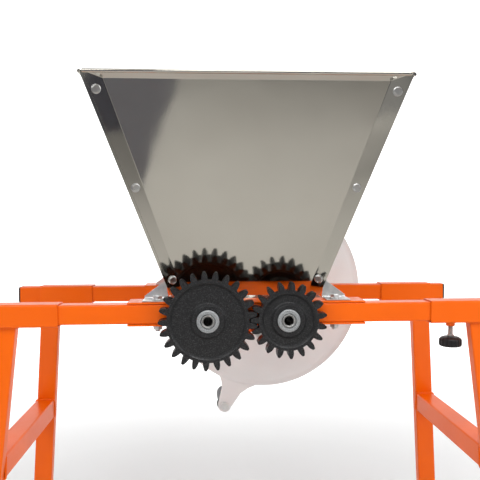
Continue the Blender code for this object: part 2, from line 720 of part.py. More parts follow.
def build_sleeve(side, end, y, clamped, parent, looks):
    outer = rounded_rectangle(SLEEVE, SLEEVE, 0.0025)
    inner = rounded_rectangle(SLEEVE - 2 * SLEEVE_WALL, SLEEVE - 2 * SLEEVE_WALL, 0.001)
    made = tube(outer, inner, SLEEVE_INNER_END, SLEEVE_INNER_END + SLEEVE_LENGTH)
    centre = (0, y, SLEEVE_TOP - SLEEVE / 2)
    solid = new_object(f"{side}_sleeve_{end}", made, looks["paint"], parent, centre, ALONG_X)
    if clamped:
        at = (SCREW_X, y, 0)
        low, high = SLEEVE_BOTTOM - 0.01, -0.02
        drill(solid, f"{side}_screw_hole", parent, M8 + HOLE_SLACK, at, (0, 0, 0), low, high, 16)


def build_leg(side, end, y, facing, parent, looks):
    """Leg that leans outward and away from the machine. facing is 1 where it leans towards -Y."""
    floor = -TABLE_HEIGHT
    leg_end = floor + FOOT_SOLE + GAP
    outer = rounded_rectangle(LEG_WIDTH, LEG_DEPTH, 0.0025)
    inner = rounded_rectangle(LEG_WIDTH - 2 * LEG_WALL, LEG_DEPTH - 2 * LEG_WALL, 0.001)
    made = shear(tube(outer, inner, leg_end, LEG_TOP), LEG_TOP)
    flip = Matrix.Diagonal((1, facing, 1, 1))
    leg = new_object(f"{side}_leg_{end}", made, looks["paint"], parent, (LEG_X, y, 0))
    leg.data.transform(flip)
    cup = shear(foot_cup(floor), LEG_TOP)
    foot = new_object(f"{side}_foot_{end}", cup, looks["plastic"], parent, (LEG_X, y, 0))
    foot.data.transform(flip)
    if facing < 0:
        leg.data.flip_normals()
        foot.data.flip_normals()


def foot_cup(floor):
    """Moulded cup on the end of a leg: rings up the outside and down the inside."""

    def make(bm):
        width, depth = LEG_WIDTH + 2 * (GAP + FOOT_WALL), LEG_DEPTH + 2 * (GAP + FOOT_WALL)
        top = floor + FOOT_HEIGHT
        inner = (LEG_WIDTH + 2 * GAP, LEG_DEPTH + 2 * GAP)
        levels = (
            (width - 0.003, depth - 0.003, floor),
            (width, depth, floor + 0.0015),
            (width, depth, top),
            (*inner, top),
            (*inner, floor + FOOT_SOLE),
        )
        rings = []
        for across, along, height in levels:
            outline = rounded_rectangle(across, along, 0.003)
            rings.append([bm.verts.new((x, y, height)) for x, y in outline])
        for low, high in zip(rings, rings[1:]):
            for i in range(len(low)):
                j = (i + 1) % len(low)
                bm.faces.new((low[i], low[j], high[j], high[i]))
        bm.faces.new(rings[0])
        bm.faces.new(rings[-1])

    return make


def build_brace(side, beam, parent, looks):
    """Level tube between the two legs of an end frame. Its ends follow the legs' slope."""
    middle = -BRACE_DROP - SLEEVE / 2
    x = LEG_X + LEG_SPLAY_X * (LEG_TOP - middle)
    hollow = SLEEVE - 2 * SLEEVE_WALL

    def make(bm):
        outer = rounded_rectangle(SLEEVE, SLEEVE, 0.0025)
        inner = rounded_rectangle(hollow, hollow, 0.001)
        tube(outer, inner, -1, 1)(bm)
        for v in bm.verts:
            height = middle + v.co.y
            reach = beam - LEG_DEPTH / 2 - GAP + LEG_SPLAY_Y * (LEG_TOP - height)
            across, end = v.co.x, v.co.z
            v.co = Vector((across, end * reach, height))

    new_object(f"{side}_brace", make, looks["paint"], parent, (x, 0, 0))


def build_weld_nut(side, y, parent, looks):
    top = SLEEVE_BOTTOM - GAP
    made = hollow_nut(M8_FLATS, M8 + GAP, top - NUT_HEIGHT, top, 0.0062, 0.001)
    new_object(f"{side}_weld_nut", made, looks["paint"], parent, (SCREW_X, y, 0))


def build_clamp(side, y, parent, looks):
    """Clamp screw under a sleeve: a stud that presses on the cross tube, and a lobed knob on its end."""
    screw = new_empty(f"{side}_clamp_axis", (SCREW_X, y, 0), parent)
    tip = -TUBE - GAP
    low = KNOB_TOP - 0.010
    stud = [(0, low), (M8, low), (M8, KNOB_TOP + GAP), (0.0055, KNOB_TOP + GAP), (0.0055, KNOB_TOP + 0.003)]
    stud += [(M8, KNOB_TOP + 0.003), (M8, tip - 0.001), (M8 - 0.001, tip), (0, tip)]
    new_object(f"{side}_clamp_stud", turned(stud, 12), looks["steel"], screw)

    def knob(bm):
        bottom = KNOB_TOP - KNOB_HEIGHT
        shoulder = KNOB_TOP - 0.004
        bore = circle(M8 + GAP, 4 * KNOB_LOBES)
        levels = [(bore, low - GAP), (bore, KNOB_TOP), (lobed_outline(0.012, 0), KNOB_TOP)]
        levels += [(lobed_outline(KNOB_RADIUS, 0.0008), shoulder)]
        levels += [(lobed_outline(KNOB_RADIUS, 0.0012), bottom + 0.002)]
        levels += [(lobed_outline(KNOB_RADIUS - 0.003, 0), bottom)]
        rings = [[bm.verts.new((x, y, z)) for x, y in outline] for outline, z in levels]
        for ring, following in zip(rings, rings[1:]):
            for i in range(len(ring)):
                j = (i + 1) % len(ring)
                bm.faces.new((ring[i], ring[j], following[j], following[i]))
        bm.faces.new(rings[-1])
        bm.faces.new(rings[0])

    new_object(f"{side}_clamp_knob", knob, looks["plastic"], screw)


# ---------------------------------------------------------------- the whole machine
def build():
    clear_scene()
    looks = {
        "paint": material("orange_paint", (0.90, 0.14, 0.01), 0.32, 0.0),
        "stainless": material("stainless_sheet", (0.62, 0.61, 0.58), 0.14, 1.0),
        "zinc": material("zinc_plate", (0.70, 0.70, 0.70), 0.30, 1.0),
        "steel": material("bright_steel", (0.60, 0.60, 0.58), 0.35, 1.0),
        "gear": material("black_gear", (0.030, 0.031, 0.032), 0.50, 0.0),
        "plastic": material("black_plastic", (0.020, 0.020, 0.022), 0.38, 0.0),
        "aluminium": material("cast_aluminium", (0.75, 0.75, 0.74), 0.45, 1.0),
        "bronze": material("bearing_bronze", (0.55, 0.38, 0.16), 0.40, 1.0),
        "wheel": material("wheel_plastic", (0.83, 0.74, 0.72), 0.35, 0.0),
    }
    origin = new_empty("machine", (0, -ORIGIN_Y, TABLE_HEIGHT))
    for end in (FRONT, REAR):
        build_cross_tube(end, origin, looks)
        build_channel(end, origin, looks)
        build_end_panel(end, origin, looks)
        for side in (LEFT, RIGHT):
            build_base_bolt(end, side, origin, looks)
            build_hopper_foot(end, side, origin, looks)
            build_bearing(end, side, origin, looks)
    for side in (LEFT, RIGHT):
        build_side_plate(side, origin, looks)
        build_side_panel(side, origin, looks)
        build_end_frame(side, origin, looks)
    build_driven(origin, looks)
    build_drive(origin, looks)


build()
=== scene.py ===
"""Looks for the hand-cranked fruit crusher: detailed pieces, materials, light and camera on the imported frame.

Shapes are made in machine coordinates: X = 0 is the middle, Y = 0 the front face of the front cross tube and
Z = 0 its top face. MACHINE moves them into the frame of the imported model. Metres throughout.
"""

from math import acos, cos, pi, radians, sin, tan, tau

import bmesh
import bpy
from mathutils import Euler, Matrix, Vector


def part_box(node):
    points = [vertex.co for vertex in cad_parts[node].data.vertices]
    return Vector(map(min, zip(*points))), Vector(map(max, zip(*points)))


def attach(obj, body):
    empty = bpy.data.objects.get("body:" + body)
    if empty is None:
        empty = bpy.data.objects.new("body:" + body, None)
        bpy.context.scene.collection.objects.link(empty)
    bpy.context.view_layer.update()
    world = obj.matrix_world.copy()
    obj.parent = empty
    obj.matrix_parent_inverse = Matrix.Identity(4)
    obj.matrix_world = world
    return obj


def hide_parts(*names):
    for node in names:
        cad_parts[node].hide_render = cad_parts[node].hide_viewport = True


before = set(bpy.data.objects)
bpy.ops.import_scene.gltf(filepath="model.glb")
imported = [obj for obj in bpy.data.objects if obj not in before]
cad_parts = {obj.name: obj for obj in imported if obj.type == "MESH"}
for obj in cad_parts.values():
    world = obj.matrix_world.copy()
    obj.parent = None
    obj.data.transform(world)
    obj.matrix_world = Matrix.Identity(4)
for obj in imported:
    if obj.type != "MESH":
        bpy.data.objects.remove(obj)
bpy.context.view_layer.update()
TUBE_LOW, TUBE_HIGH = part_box("front_cross_tube")
MACHINE = Matrix.Translation((0, TUBE_LOW.y, TUBE_HIGH.z))
FLOOR = -TUBE_HIGH.z

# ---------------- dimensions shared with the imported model
GAP = 0.0003
MERGE = 0.000005  # vertices nearer than this become one
TUBE = 0.03
TUBE_WALL = 0.002
TUBE_LENGTH = 0.838
TUBE_OFFSET = 0.006
NOTCH_RADIUS = 0.013  # notch in a cross tube for a shaft
BEAM_PITCH = 0.27
MIDDLE_Y = (BEAM_PITCH + TUBE) / 2
M8 = 0.004  # radius over the thread
M8_PITCH = 0.00125
M8_FLATS = 0.013
M8_NUT = 0.0065
BOLT_HOLE = 0.0045

SLEEVE = 0.035
SLEEVE_WALL = 0.0015
SLEEVE_LENGTH = 0.1
SLEEVE_INNER_END = 0.2865
SLEEVE_TOP = GAP + SLEEVE_WALL
SLEEVE_BOTTOM = SLEEVE_TOP - SLEEVE
LEG_WIDTH = 0.035
LEG_DEPTH = 0.02
LEG_WALL = 0.0015
LEG_TOP = SLEEVE_BOTTOM - GAP
LEG_X = SLEEVE_INNER_END + SLEEVE_LENGTH - LEG_WIDTH / 2
LEG_Y = MIDDLE_Y - TUBE / 2
LEAN_X = 0.08  # what a leg moves outward for each metre down
LEAN_Y = 0.1
BRACE_TOP = -0.229
FOOT_HEIGHT = 0.026
FOOT_WALL = 0.002
EDGE = 0.0003  # bevel on a tube's or channel's sharp edges
CORNER = 0.003  # outside radius of a tube's corners

SCREW_X = 0.324
KNOB_TOP = -0.057
KNOB_HEIGHT = 0.0155
KNOB_RADIUS = 0.0175
KNOB_RIBS = 18

CHANNEL_HALF = 0.183
CHANNEL_DEPTH = 0.05
SHEET = 0.003  # the channels' steel
WEB_BACK = CHANNEL_DEPTH - 0.0005
CHANNEL_TOP = GAP + SHEET
CHANNEL_LOW = -TUBE - GAP - SHEET
BEARING_HOLE = 0.0152
FOOT_PLATE = 0.0015
WEB_TAB_HALF = 0.098
WEB_TAB_DROP = 0.052
SIDE_PLATE_X = 0.122
BOLT_X = 0.138

MODULE = 0.0055
GEAR_TEETH = 25
PINION_TEETH = 19
GEAR_FRONT = -0.028
GEAR_WIDTH = 0.022
PRESSURE_ANGLE = radians(20)
BACKLASH = 0.0007
MESH_TURN = 0.0011  # shift along the pitch circle that centres the teeth in each other
SHAFT_X = MODULE * (GEAR_TEETH + PINION_TEETH) / 4
SHAFT_Z = -0.0225
SHAFT_RADIUS = 0.01
SHAFT_BORE = 0.007
SHAFT_BORE_DEPTH = 0.13
BEARING_BORE = 0.0103
BUSH_RADIUS = 0.017
ROLLER_RADIUS = 0.058
ROLLER_LENGTH = 0.184
FLUTES = 12
FLUTE_DEPTH = 0.006

# Right end of the crease between the front panel and its side strip, and the rim beyond its top
HOPPER_BOTTOM = Vector((0.099, 0.045, 0.008))
HOPPER_TOP = Vector((0.209, -0.042, 0.332))
EAR = Vector((0.033, -0.012, 0.01))
STRIP_BOTTOM = 0.02
SHEET_STEEL = 0.0012
SHEET_STEP = 0.0019  # spacing of two lapped sheets
SIDE_BOTTOM = 0.024
FOLD = 0.0007
ROLL = 0.0027  # radius of the rolled rim
STRIP_CUT = {"left": 0.0048, "right": 0.0014}  # what the front sheet's strips stop short of the side sheets
RIM_CUT = 1.15  # the rim's share of that
CREASE = HOPPER_TOP - HOPPER_BOTTOM
RIM_CORNER = HOPPER_TOP + EAR
OUTWARD = (EAR - CREASE * (EAR.dot(CREASE) / CREASE.length_squared)).normalized()  # across a strip
STRIP_FOOT = HOPPER_BOTTOM + (OUTWARD - CREASE * (OUTWARD.z / CREASE.z)) * STRIP_BOTTOM

# The hand wheel and its crank, as distances behind the front tube and radii round the shaft
WHEEL_FACE = 0.4
WHEEL_RADIUS = 0.214
WHEEL_BACK = 0.428
WHEEL_RIBS = 10
HUB_FRONT = 0.338
HUB_BACK = 0.372
CRANK_RADIUS = 0.272
CRANK_ANGLE = radians(-108.3)
LUG_END = 0.0145
LUG_FRONT = 0.403
LUG_BACK = 0.415
GRIP_FRONT = 0.417
GRIP_BACK = 0.522
GRIP_BORE = 0.0053

SIGN = {"left": -1, "right": 1}
ENDS = ("front", "rear")
SIDES = ("left", "right")
ALONG_Y = Matrix.Rotation(radians(-90), 4, "X")  # local Z becomes Y, local Y becomes -Z
ALONG_X = Matrix.Rotation(radians(90), 4, "Y")  # local Z becomes X, local X becomes -Z
FACING_FRONT = Matrix.Rotation(radians(90), 4, "X")  # local Z becomes -Y, local Y becomes Z
HALF_TURN = Matrix.Rotation(pi, 4, "Z")
shifted = Matrix.Translation
ABOUT_MIDDLE = shifted((0, MIDDLE_Y, 0))
FLIP_X = Matrix.Scale(-1, 4, (1, 0, 0))
FLIP_Y = shifted((0, 2 * MIDDLE_Y, 0)) @ Matrix.Scale(-1, 4, (0, 1, 0))


# ---------------- materials
class Nodes:
    """A node tree of a material or the world, with short ways to add what the looks below need."""

    def __init__(self, made, shader="Principled BSDF", place="Object"):
        made.use_nodes = True
        self.made = made
        self.tree = made.node_tree
        self.shader = self.tree.nodes[shader]
        self.place = self.add("ShaderNodeTexCoord").outputs[place]

    def add(self, kind, **values):
        node = self.tree.nodes.new(kind)
        for key, value in values.items():
            setattr(node, key, value)
        return node

    def link(self, output, socket):
        self.tree.links.new(output, socket)

    def set(self, **values):
        for key, value in values.items():
            self.shader.inputs[key.replace("_", " ")].default_value = value

    def noise(self, scale, detail, stretch=None):
        """Noise over the object. stretch scales each axis first."""
        place = self.place
        if stretch:
            mapping = self.add("ShaderNodeMapping")
            mapping.inputs["Scale"].default_value = stretch
            self.link(place, mapping.inputs["Vector"])
            place = mapping.outputs["Vector"]
        node = self.add("ShaderNodeTexNoise")
        node.inputs["Scale"].default_value = scale
        node.inputs["Detail"].default_value = detail
        self.link(place, node.inputs["Vector"])
        return node.outputs["Fac"]

    def colour(self, value, stops):
        """Base colour from a value. stops are positions from 0 to 1 with their colours."""
        node = self.add("ShaderNodeValToRGB")
        while len(node.color_ramp.elements) < len(stops):
            node.color_ramp.elements.new(0.5)
        for element, (position, colour) in zip(node.color_ramp.elements, stops):
            element.position = position
            element.color = (*colour, 1)
        self.link(value, node.inputs["Fac"])
        self.link(node.outputs["Color"], self.shader.inputs["Base Color"])

    def ranged(self, value, limits, low, high, **values):
        """low to high while the value runs between its limits."""
        node = self.add("ShaderNodeMapRange", **values)
        self.link(value, node.inputs["Value"])
        for name, number in zip(("From Min", "From Max", "To Min", "To Max"), (*limits, low, high)):
            node.inputs[name].default_value = number
        return node.outputs["Result"]

    def along(self, axis, limits, low, high):
        """low to high along one axis of the object."""
        split = self.add("ShaderNodeSeparateXYZ")
        self.link(self.place, split.inputs["Vector"])
        return self.ranged(split.outputs[axis], limits, low, high)

    def for_camera(self, seen, lit):
        """One value for what the camera sees and another for the light that the object gets."""
        pick = self.add("ShaderNodeMix")
        self.link(self.add("ShaderNodeLightPath").outputs["Is Camera Ray"], pick.inputs["Factor"])
        self.link(lit, pick.inputs["A"])
        if isinstance(seen, float):
            pick.inputs["B"].default_value = seen
        else:
            self.link(seen, pick.inputs["B"])
        return pick.outputs["Result"]

    def roughness(self, value, low, high):
        self.link(self.ranged(value, (0.0, 1.0), low, high), self.shader.inputs["Roughness"])

    def bump(self, *layers):
        """Stacks layers of (height, depth in metres)."""
        below = None
        for height, depth in layers:
            node = self.add("ShaderNodeBump")
            node.inputs["Distance"].default_value = depth
            node.inputs["Strength"].default_value = 1.0
            self.link(height, node.inputs["Height"])
            if below:
                self.link(below, node.inputs["Normal"])
            below = node.outputs["Normal"]
        self.link(below, self.shader.inputs["Normal"])


def material(name, **settings):
    n = Nodes(bpy.data.materials.new(name))
    n.set(**settings)
    return n


def look(slot, name, settings, colour, roughness, *bumps):
    """A material and its slot. colour is a noise and its stops, roughness a noise and its limits, and each bump a
    noise and its depth. A noise is its scale, its detail and, where it is drawn out, a scale for each axis."""
    n = material(name, **settings)
    n.colour(n.noise(*colour[0]), colour[1:])
    n.roughness(n.noise(*roughness[0]), *roughness[1:])
    n.bump(*[(n.noise(*noise), depth) for noise, depth in bumps])
    return n.made, slot


METAL = {"Metallic": 1.0}
BRUSHED = (1.0, 4, (900, 900, 9))
TURNED = (1.0, 3, (60, 60, 2600))
LOOKS = {
    "paint": look(
        "paint", "orange_powder_coat", {"Specular_IOR_Level": 0.22, "Coat_Weight": 0.18, "Coat_Roughness": 0.08},
        ((9, 4), (0.3, (0.86, 0.12, 0.0)), (0.7, (0.91, 0.137, 0.0))), ((60, 3), 0.28, 0.4),
        ((420, 2), 0.00006), ((1500, 1), 0.00002)),
    "stainless": look(
        "stainless", "bright_stainless", {"Metallic": 1.0, "Anisotropic": 0.35},
        ((5, 3), (0.3, (0.575, 0.552, 0.495)), (0.7, (0.64, 0.618, 0.56))), (BRUSHED, 0.05, 0.12),
        ((7, 2), 0.0012), (BRUSHED, 0.000012)),
    "zinc": look(
        "zinc", "bright_zinc", METAL, ((120, 4), (0.3, (0.76, 0.77, 0.78)), (0.7, (0.92, 0.92, 0.91))),
        ((260, 4), 0.24, 0.44), ((700, 3), 0.00003)),
    "steel": look(
        "steel", "turned_steel", METAL, ((90, 3), (0.3, (0.5, 0.5, 0.49)), (0.7, (0.64, 0.64, 0.62))),
        (TURNED, 0.22, 0.42), (TURNED, 0.00002)),
    "sintered": look(
        "steel", "grainy_steel", {"Metallic": 0.85},
        ((1300, 4), (0.35, (0.3, 0.31, 0.32)), (0.6, (0.58, 0.6, 0.61))), ((1300, 4), 0.38, 0.6),
        ((1300, 4), 0.00012)),
    "gear": look(
        "gear_black", "black_gear_plastic",
        {"Specular_IOR_Level": 0.3, "Coat_Weight": 0.35, "Coat_Roughness": 0.22},
        ((620, 8), (0.36, (0.004, 0.004, 0.005)), (0.55, (0.014, 0.014, 0.015)), (0.75, (0.052, 0.052, 0.054))),
        ((300, 4), 0.42, 0.6), ((620, 8), 0.0001), ((60, 2), 0.0002)),
    "plastic": look(
        "black_plastic", "black_moulded_plastic", {"Specular_IOR_Level": 0.35},
        ((80, 3), (0.3, (0.008, 0.007, 0.008)), (0.7, (0.018, 0.016, 0.017))), ((500, 3), 0.3, 0.46),
        ((1800, 2), 0.00004)),
    "wheel": look(
        "wheel_plastic", "pale_wheel_plastic",
        {"Subsurface_Weight": 0.15, "Subsurface_Scale": 0.006, "Subsurface_Radius": (1.0, 0.85, 0.8),
         "Coat_Weight": 0.1},
        ((7, 3), (0.3, (0.76, 0.745, 0.735)), (0.7, (0.82, 0.8, 0.79))), ((200, 3), 0.34, 0.48),
        ((900, 2), 0.00003), ((14, 2), 0.0006)),
    "aluminium": look(
        "aluminium", "machined_aluminium", METAL, ((150, 4), (0.3, (0.62, 0.62, 0.62)), (0.7, (0.78, 0.78, 0.77))),
        ((400, 4), 0.34, 0.5), ((1.0, 3, (700, 700, 30)), 0.00005)),
    "bronze": look(
        "bronze", "bearing_bronze", METAL, ((160, 4), (0.3, (0.45, 0.3, 0.12)), (0.7, (0.62, 0.44, 0.2))),
        ((500, 3), 0.28, 0.45), ((1.0, 3, (80, 80, 1500)), 0.00003)),
}


# ---------------- pieces
def add_object(name, data):
    obj = bpy.data.objects.new(name, data)
    bpy.context.scene.collection.objects.link(obj)
    return obj


def round_edges(obj, width, segments, angle):
    bevel = obj.modifiers.new("edges", "BEVEL")
    bevel.width = width
    bevel.segments = segments
    bevel.limit_method = "ANGLE"
    bevel.angle_limit = radians(angle)
    return bevel


def piece(name, mesh, look_name, body, nodes=(), at=Matrix.Identity(4), edge=0.0, smooth=35.0, thickness=0.0):
    """A finished piece: its mesh in machine coordinates through at, its look, the body it rides on and the nodes
    it stands for. edge is the width of the bevel on its sharp edges. A thickness turns a surface into a sheet."""
    made, slot = LOOKS[look_name]
    obj = add_object(name, mesh)
    mesh.materials.clear()
    mesh.materials.append(made)
    mesh.shade_smooth()
    mesh.set_sharp_from_angle(angle=radians(smooth))
    if thickness:
        sheet = obj.modifiers.new("sheet", "SOLIDIFY")
        sheet.thickness = thickness
        sheet.offset = 0
        round_edges(obj, 0.0005, 3, 60)
    if edge:
        round_edges(obj, edge, 2, 40).harden_normals = True
    normals = obj.modifiers.new("normals", "WEIGHTED_NORMAL")
    normals.keep_sharp = True
    obj.matrix_world = MACHINE @ at
    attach(obj, body)
    if nodes:
        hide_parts(*nodes)


def mesh_of(build, clean=True):
    bm = bmesh.new()
    build(bm)
    if clean:
        bmesh.ops.remove_doubles(bm, verts=bm.verts, dist=MERGE)
        bmesh.ops.recalc_face_normals(bm, faces=bm.faces)
    mesh = bpy.data.meshes.new("mesh")
    bm.to_mesh(mesh)
    bm.free()
    return mesh


def joined(*parts):
    """One mesh from several, each a mesh or a pair of a mesh and a matrix."""

    def build(bm):
        for part in parts:
            mesh, at = part if isinstance(part, tuple) else (part, None)
            if at:
                mesh.transform(at)
            bm.from_mesh(mesh)

    return mesh_of(build, clean=False)


def combined(mesh, others, operation):
    """The mesh cut by the others, or united with them."""
    helpers = [add_object("blank", m) for m in (mesh, *others)]
    for helper in helpers[1:]:
        boolean = helpers[0].modifiers.new("boolean", "BOOLEAN")
        boolean.operation = operation
        boolean.object = helper
    graph = bpy.context.evaluated_depsgraph_get()
    result = bpy.data.meshes.new_from_object(helpers[0].evaluated_get(graph))
    for helper in helpers:
        bpy.data.objects.remove(helper)
    return result


# ---------------- outlines
def polar(radius, angle):
    return radius * cos(angle), radius * sin(angle)


def circle(radius, count):
    return [polar(radius, tau * i / count) for i in range(count)]


def rounded(width, height, corner, steps=6):
    """Rectangle with round corners, counter-clockwise."""
    points = []
    for quarter in range(4):
        sign_x = 1 if quarter in (0, 3) else -1
        sign_y = 1 if quarter < 2 else -1
        for i in range(steps):
            a = radians(90 * (quarter + i / (steps - 1)))
            points.append((sign_x * (width / 2 - corner) + corner * cos(a),
                           sign_y * (height / 2 - corner) + corner * sin(a)))
    return points


def filleted(points, radii, steps=5):
    """A polygon with each corner rounded by its own radius."""
    made = []
    count = len(points)
    for i, (point, radius) in enumerate(zip(points, radii)):
        here = Vector(point)
        before = (Vector(points[i - 1]) - here).normalized()
        after = (Vector(points[(i + 1) % count]) - here).normalized()
        if radius <= 0:
            made.append((here.x, here.y))
            continue
        half = before.angle(after) / 2
        reach = radius / tan(half)
        start, end = here + before * reach, here + after * reach
        centre = here + (before + after).normalized() * (radius / sin(half))
        a, b = start - centre, end - centre
        sweep = a.angle_signed(b)
        for j in range(steps):
            turn = Matrix.Rotation(-sweep * j / (steps - 1), 2)
            p = centre + turn @ a
            made.append((p.x, p.y))
    return made


# ---------------- solids
def skin(bm, rings, closed=False):
    """Faces between rings of vertices. closed joins the last ring to the first, otherwise both ends are closed."""
    for ring, following in list(zip(rings, rings[1:])) + ([(rings[-1], rings[0])] if closed else []):
        for i in range(len(ring)):
            j = (i + 1) % len(ring)
            bm.faces.new((ring[i], ring[j], following[j], following[i]))
    if not closed:
        bm.faces.new(rings[0])
        bm.faces.new(rings[-1])


def loft(levels, closed=False):
    """Skins outlines of equal length at their heights. closed makes a hollow body."""

    def build(bm):
        skin(bm, [[bm.verts.new((x, y, z)) for x, y in outline] for outline, z in levels], closed)

    return mesh_of(build)


def prism(outline, low, high):
    return loft([(outline, low), (outline, high)])


def bar(width, height, wall, low, high, corner=CORNER):
    """Hollow rectangular tube along local Z."""
    outer = rounded(width, height, corner)
    inner = rounded(width - 2 * wall, height - 2 * wall, corner - wall if corner > wall else 0.0006)
    return loft([(outer, low), (outer, high), (inner, high), (inner, low)], closed=True)


def turned(profile, segments=64):
    """Spins a closed profile of (radius, height) points round local Z."""

    def build(bm):
        ring = [bm.verts.new((r, 0, z)) for r, z in profile]
        edges = [bm.edges.new((a, b)) for a, b in zip(ring, ring[1:] + ring[:1])]
        bmesh.ops.spin(bm, geom=ring + edges, cent=(0, 0, 0), axis=(0, 0, 1), angle=tau, steps=segments,
                       use_merge=True, use_normal_flip=False)
        bmesh.ops.remove_doubles(bm, verts=bm.verts, dist=0.00001)
        bmesh.ops.dissolve_degenerate(bm, edges=bm.edges, dist=0.000002)

    return mesh_of(build)


def plate(outline, holes, low, high, edge):
    """Flat plate with rounded edges. outline is counter-clockwise."""
    curve = bpy.data.curves.new("outline", "CURVE")
    curve.dimensions = "2D"
    curve.fill_mode = "BOTH"
    curve.extrude = (high - low) / 2 - edge
    curve.bevel_depth = edge
    curve.bevel_resolution = 1
    curve.offset = -edge
    for points in (outline, *[list(reversed(hole)) for hole in holes]):
        spline = curve.splines.new("POLY")
        spline.points.add(len(points) - 1)
        for point, (x, y) in zip(spline.points, points):
            point.co = (x, y, 0, 1)
        spline.use_cyclic_u = True
    helper = add_object("outline", curve)
    graph = bpy.context.evaluated_depsgraph_get()
    flat = bpy.data.meshes.new_from_object(helper.evaluated_get(graph))
    bpy.data.objects.remove(helper)
    mesh = mesh_of(lambda bm: bm.from_mesh(flat))
    mesh.transform(shifted((0, 0, (low + high) / 2)))
    return mesh


def thread(radius, pitch, low, high, segments=20):
    """Screw thread: a cylinder whose radius follows a helix, with plain ends."""
    depth = 0.61 * pitch
    rows = int((high - low) / (pitch / 4))
    levels = []
    for row in range(rows + 1):
        z = low + (high - low) * row / rows
        fade = min(1.0, row / 3, (rows - row) / 3)
        outline = []
        for i in range(segments):
            turn = ((z - low) / pitch - i / segments) % 1
            r = radius - depth * (abs(2 * turn - 1) * fade + 0.5 * (1 - fade))
            outline.append(polar(r, tau * i / segments))
        levels.append((outline, z))
    return loft(levels)


def hexagonal(across, low, high, chamfer=0.0008, bore=0.0, flange=0.0, flange_height=0.0015):
    """Hexagon head or nut with chamfered corners. A flange is at its low end."""
    count = 48
    flat = across / 2
    corner = flat / cos(pi / 6)

    def ring(limit):
        turns = [tau * i / count for i in range(count)]
        return [polar(min(limit, flat / cos(a % (pi / 3) - pi / 6)), a) for a in turns]

    ends = [(ring(corner), high - chamfer), (ring(flat * 0.97), high)]
    if flange:
        shoulder = low + flange_height
        levels = [(circle(flange - 0.0004, count), low), (circle(flange, count), low + 0.0004),
                  (circle(flange, count), low + flange_height * 0.5), (circle(flat * 1.02, count), shoulder),
                  (ring(corner), shoulder + 0.0001)]
    else:
        levels = [(ring(flat * 0.97), low), (ring(corner), low + chamfer)]
    if bore:
        return loft(levels + ends + [(circle(bore, count), high), (circle(bore, count), low)], closed=True)
    dip = [(circle(flat * 0.8, count), high), (circle(flat * 0.74, count), high - 0.0003)]
    return loft(levels + ends + dip)


def washer(inner, outer, low, high):
    rim = 0.0003
    profile = [(inner, low), (outer - rim, low), (outer, low + rim), (outer, high - rim), (outer - rim, high),
               (inner + rim, high), (inner, high - rim)]
    return turned(profile, 40)


def bead(path, radius, closed=False, ripple=0.0022):
    """Weld bead along a path of 3-D points, rippled along its length."""
    points = [Vector(p) for p in path]
    if closed:
        points.append(points[0])
    spaced = [points[0]]
    for a, b in zip(points, points[1:]):
        steps = max(1, round((b - a).length / (ripple / 3)))
        spaced += [a.lerp(b, (i + 1) / steps) for i in range(steps)]
    if closed:
        spaced.pop()
    count = len(spaced)

    def build(bm):
        rings = []
        run = 0.0
        for i, point in enumerate(spaced):
            before = spaced[i - 1] if closed or i else point
            after = spaced[(i + 1) % count] if closed or i < count - 1 else point
            along = (after - before).normalized()
            across = along.cross(Vector((0.13, 0.21, 1))).normalized()
            up = across.cross(along)
            run += (point - spaced[i - 1]).length if i else 0
            end = 1.0 if closed else min(1.0, 0.35 + min(i, count - 1 - i) * 0.3)
            size = radius * end * (1 + 0.16 * sin(tau * run / ripple) + 0.07 * sin(run * 1900))
            rings.append([bm.verts.new(point + (across * x + up * y) * size) for x, y in circle(1.0, 8)])
        skin(bm, rings, closed)

    return mesh_of(build)


def mirrored(mesh, end="front", side="right"):
    """The mesh of a front right piece, turned into the one for this end and side."""
    for flip in [FLIP_Y] * (end == "rear") + [FLIP_X] * (side == "left"):
        mesh.transform(flip)
        mesh.flip_normals()
    return mesh


def cylinder(radius, low, high, at):
    mesh = prism(circle(radius, 32), low, high)
    mesh.transform(at)
    return mesh


# ---------------- fixed middle of the frame
def build_cross_tube(end):
    start_y = 0 if end == "front" else BEAM_PITCH
    offset = TUBE_OFFSET if end == "front" else -TUBE_OFFSET
    centre = shifted((offset, start_y + TUBE / 2, -TUBE / 2))
    tube = bar(TUBE, TUBE, TUBE_WALL, -TUBE_LENGTH / 2, TUBE_LENGTH / 2)
    tube.transform(centre @ ALONG_X)
    cutters = [cylinder(NOTCH_RADIUS, -0.005, TUBE + 0.005, shifted((x, start_y, SHAFT_Z)) @ ALONG_Y)
               for x in ((-SHAFT_X, SHAFT_X) if end == "front" else (SHAFT_X,))]
    cutters += [cylinder(BOLT_HOLE, -0.04, 0.01, shifted((x, start_y + TUBE / 2, 0)))
                for x in (-BOLT_X, BOLT_X)]
    made = combined(tube, cutters, "DIFFERENCE")
    piece(f"cross_tube_{end}", made, "paint", "head", [f"{end}_cross_tube"], edge=EDGE)
    stub = TUBE - 2 * TUBE_WALL - 2 * GAP
    shape = [(stub - 0.003, 0.002, -0.018), (stub, 0.001, -0.014), (stub, 0.001, GAP), (TUBE - 0.0008, CORNER, GAP),
             (TUBE, CORNER, GAP + 0.0004), (TUBE, CORNER, 0.002), (TUBE - 0.0012, CORNER, 0.0029),
             (TUBE - 0.004, CORNER, 0.0036), (TUBE - 0.012, CORNER, 0.0036), (TUBE - 0.013, CORNER, 0.003)]
    for side in SIDES:
        plug = loft([(rounded(size, size, corner), z) for size, corner, z in shape])
        turn = Matrix.Rotation(SIGN[side] * radians(90), 4, "Y")
        at = centre @ shifted((SIGN[side] * TUBE_LENGTH / 2, 0, 0)) @ turn
        piece(f"tube_plug_{end}_{side}", plug, "plastic", "head", [f"tube_cap_{end}_{side}"], at)


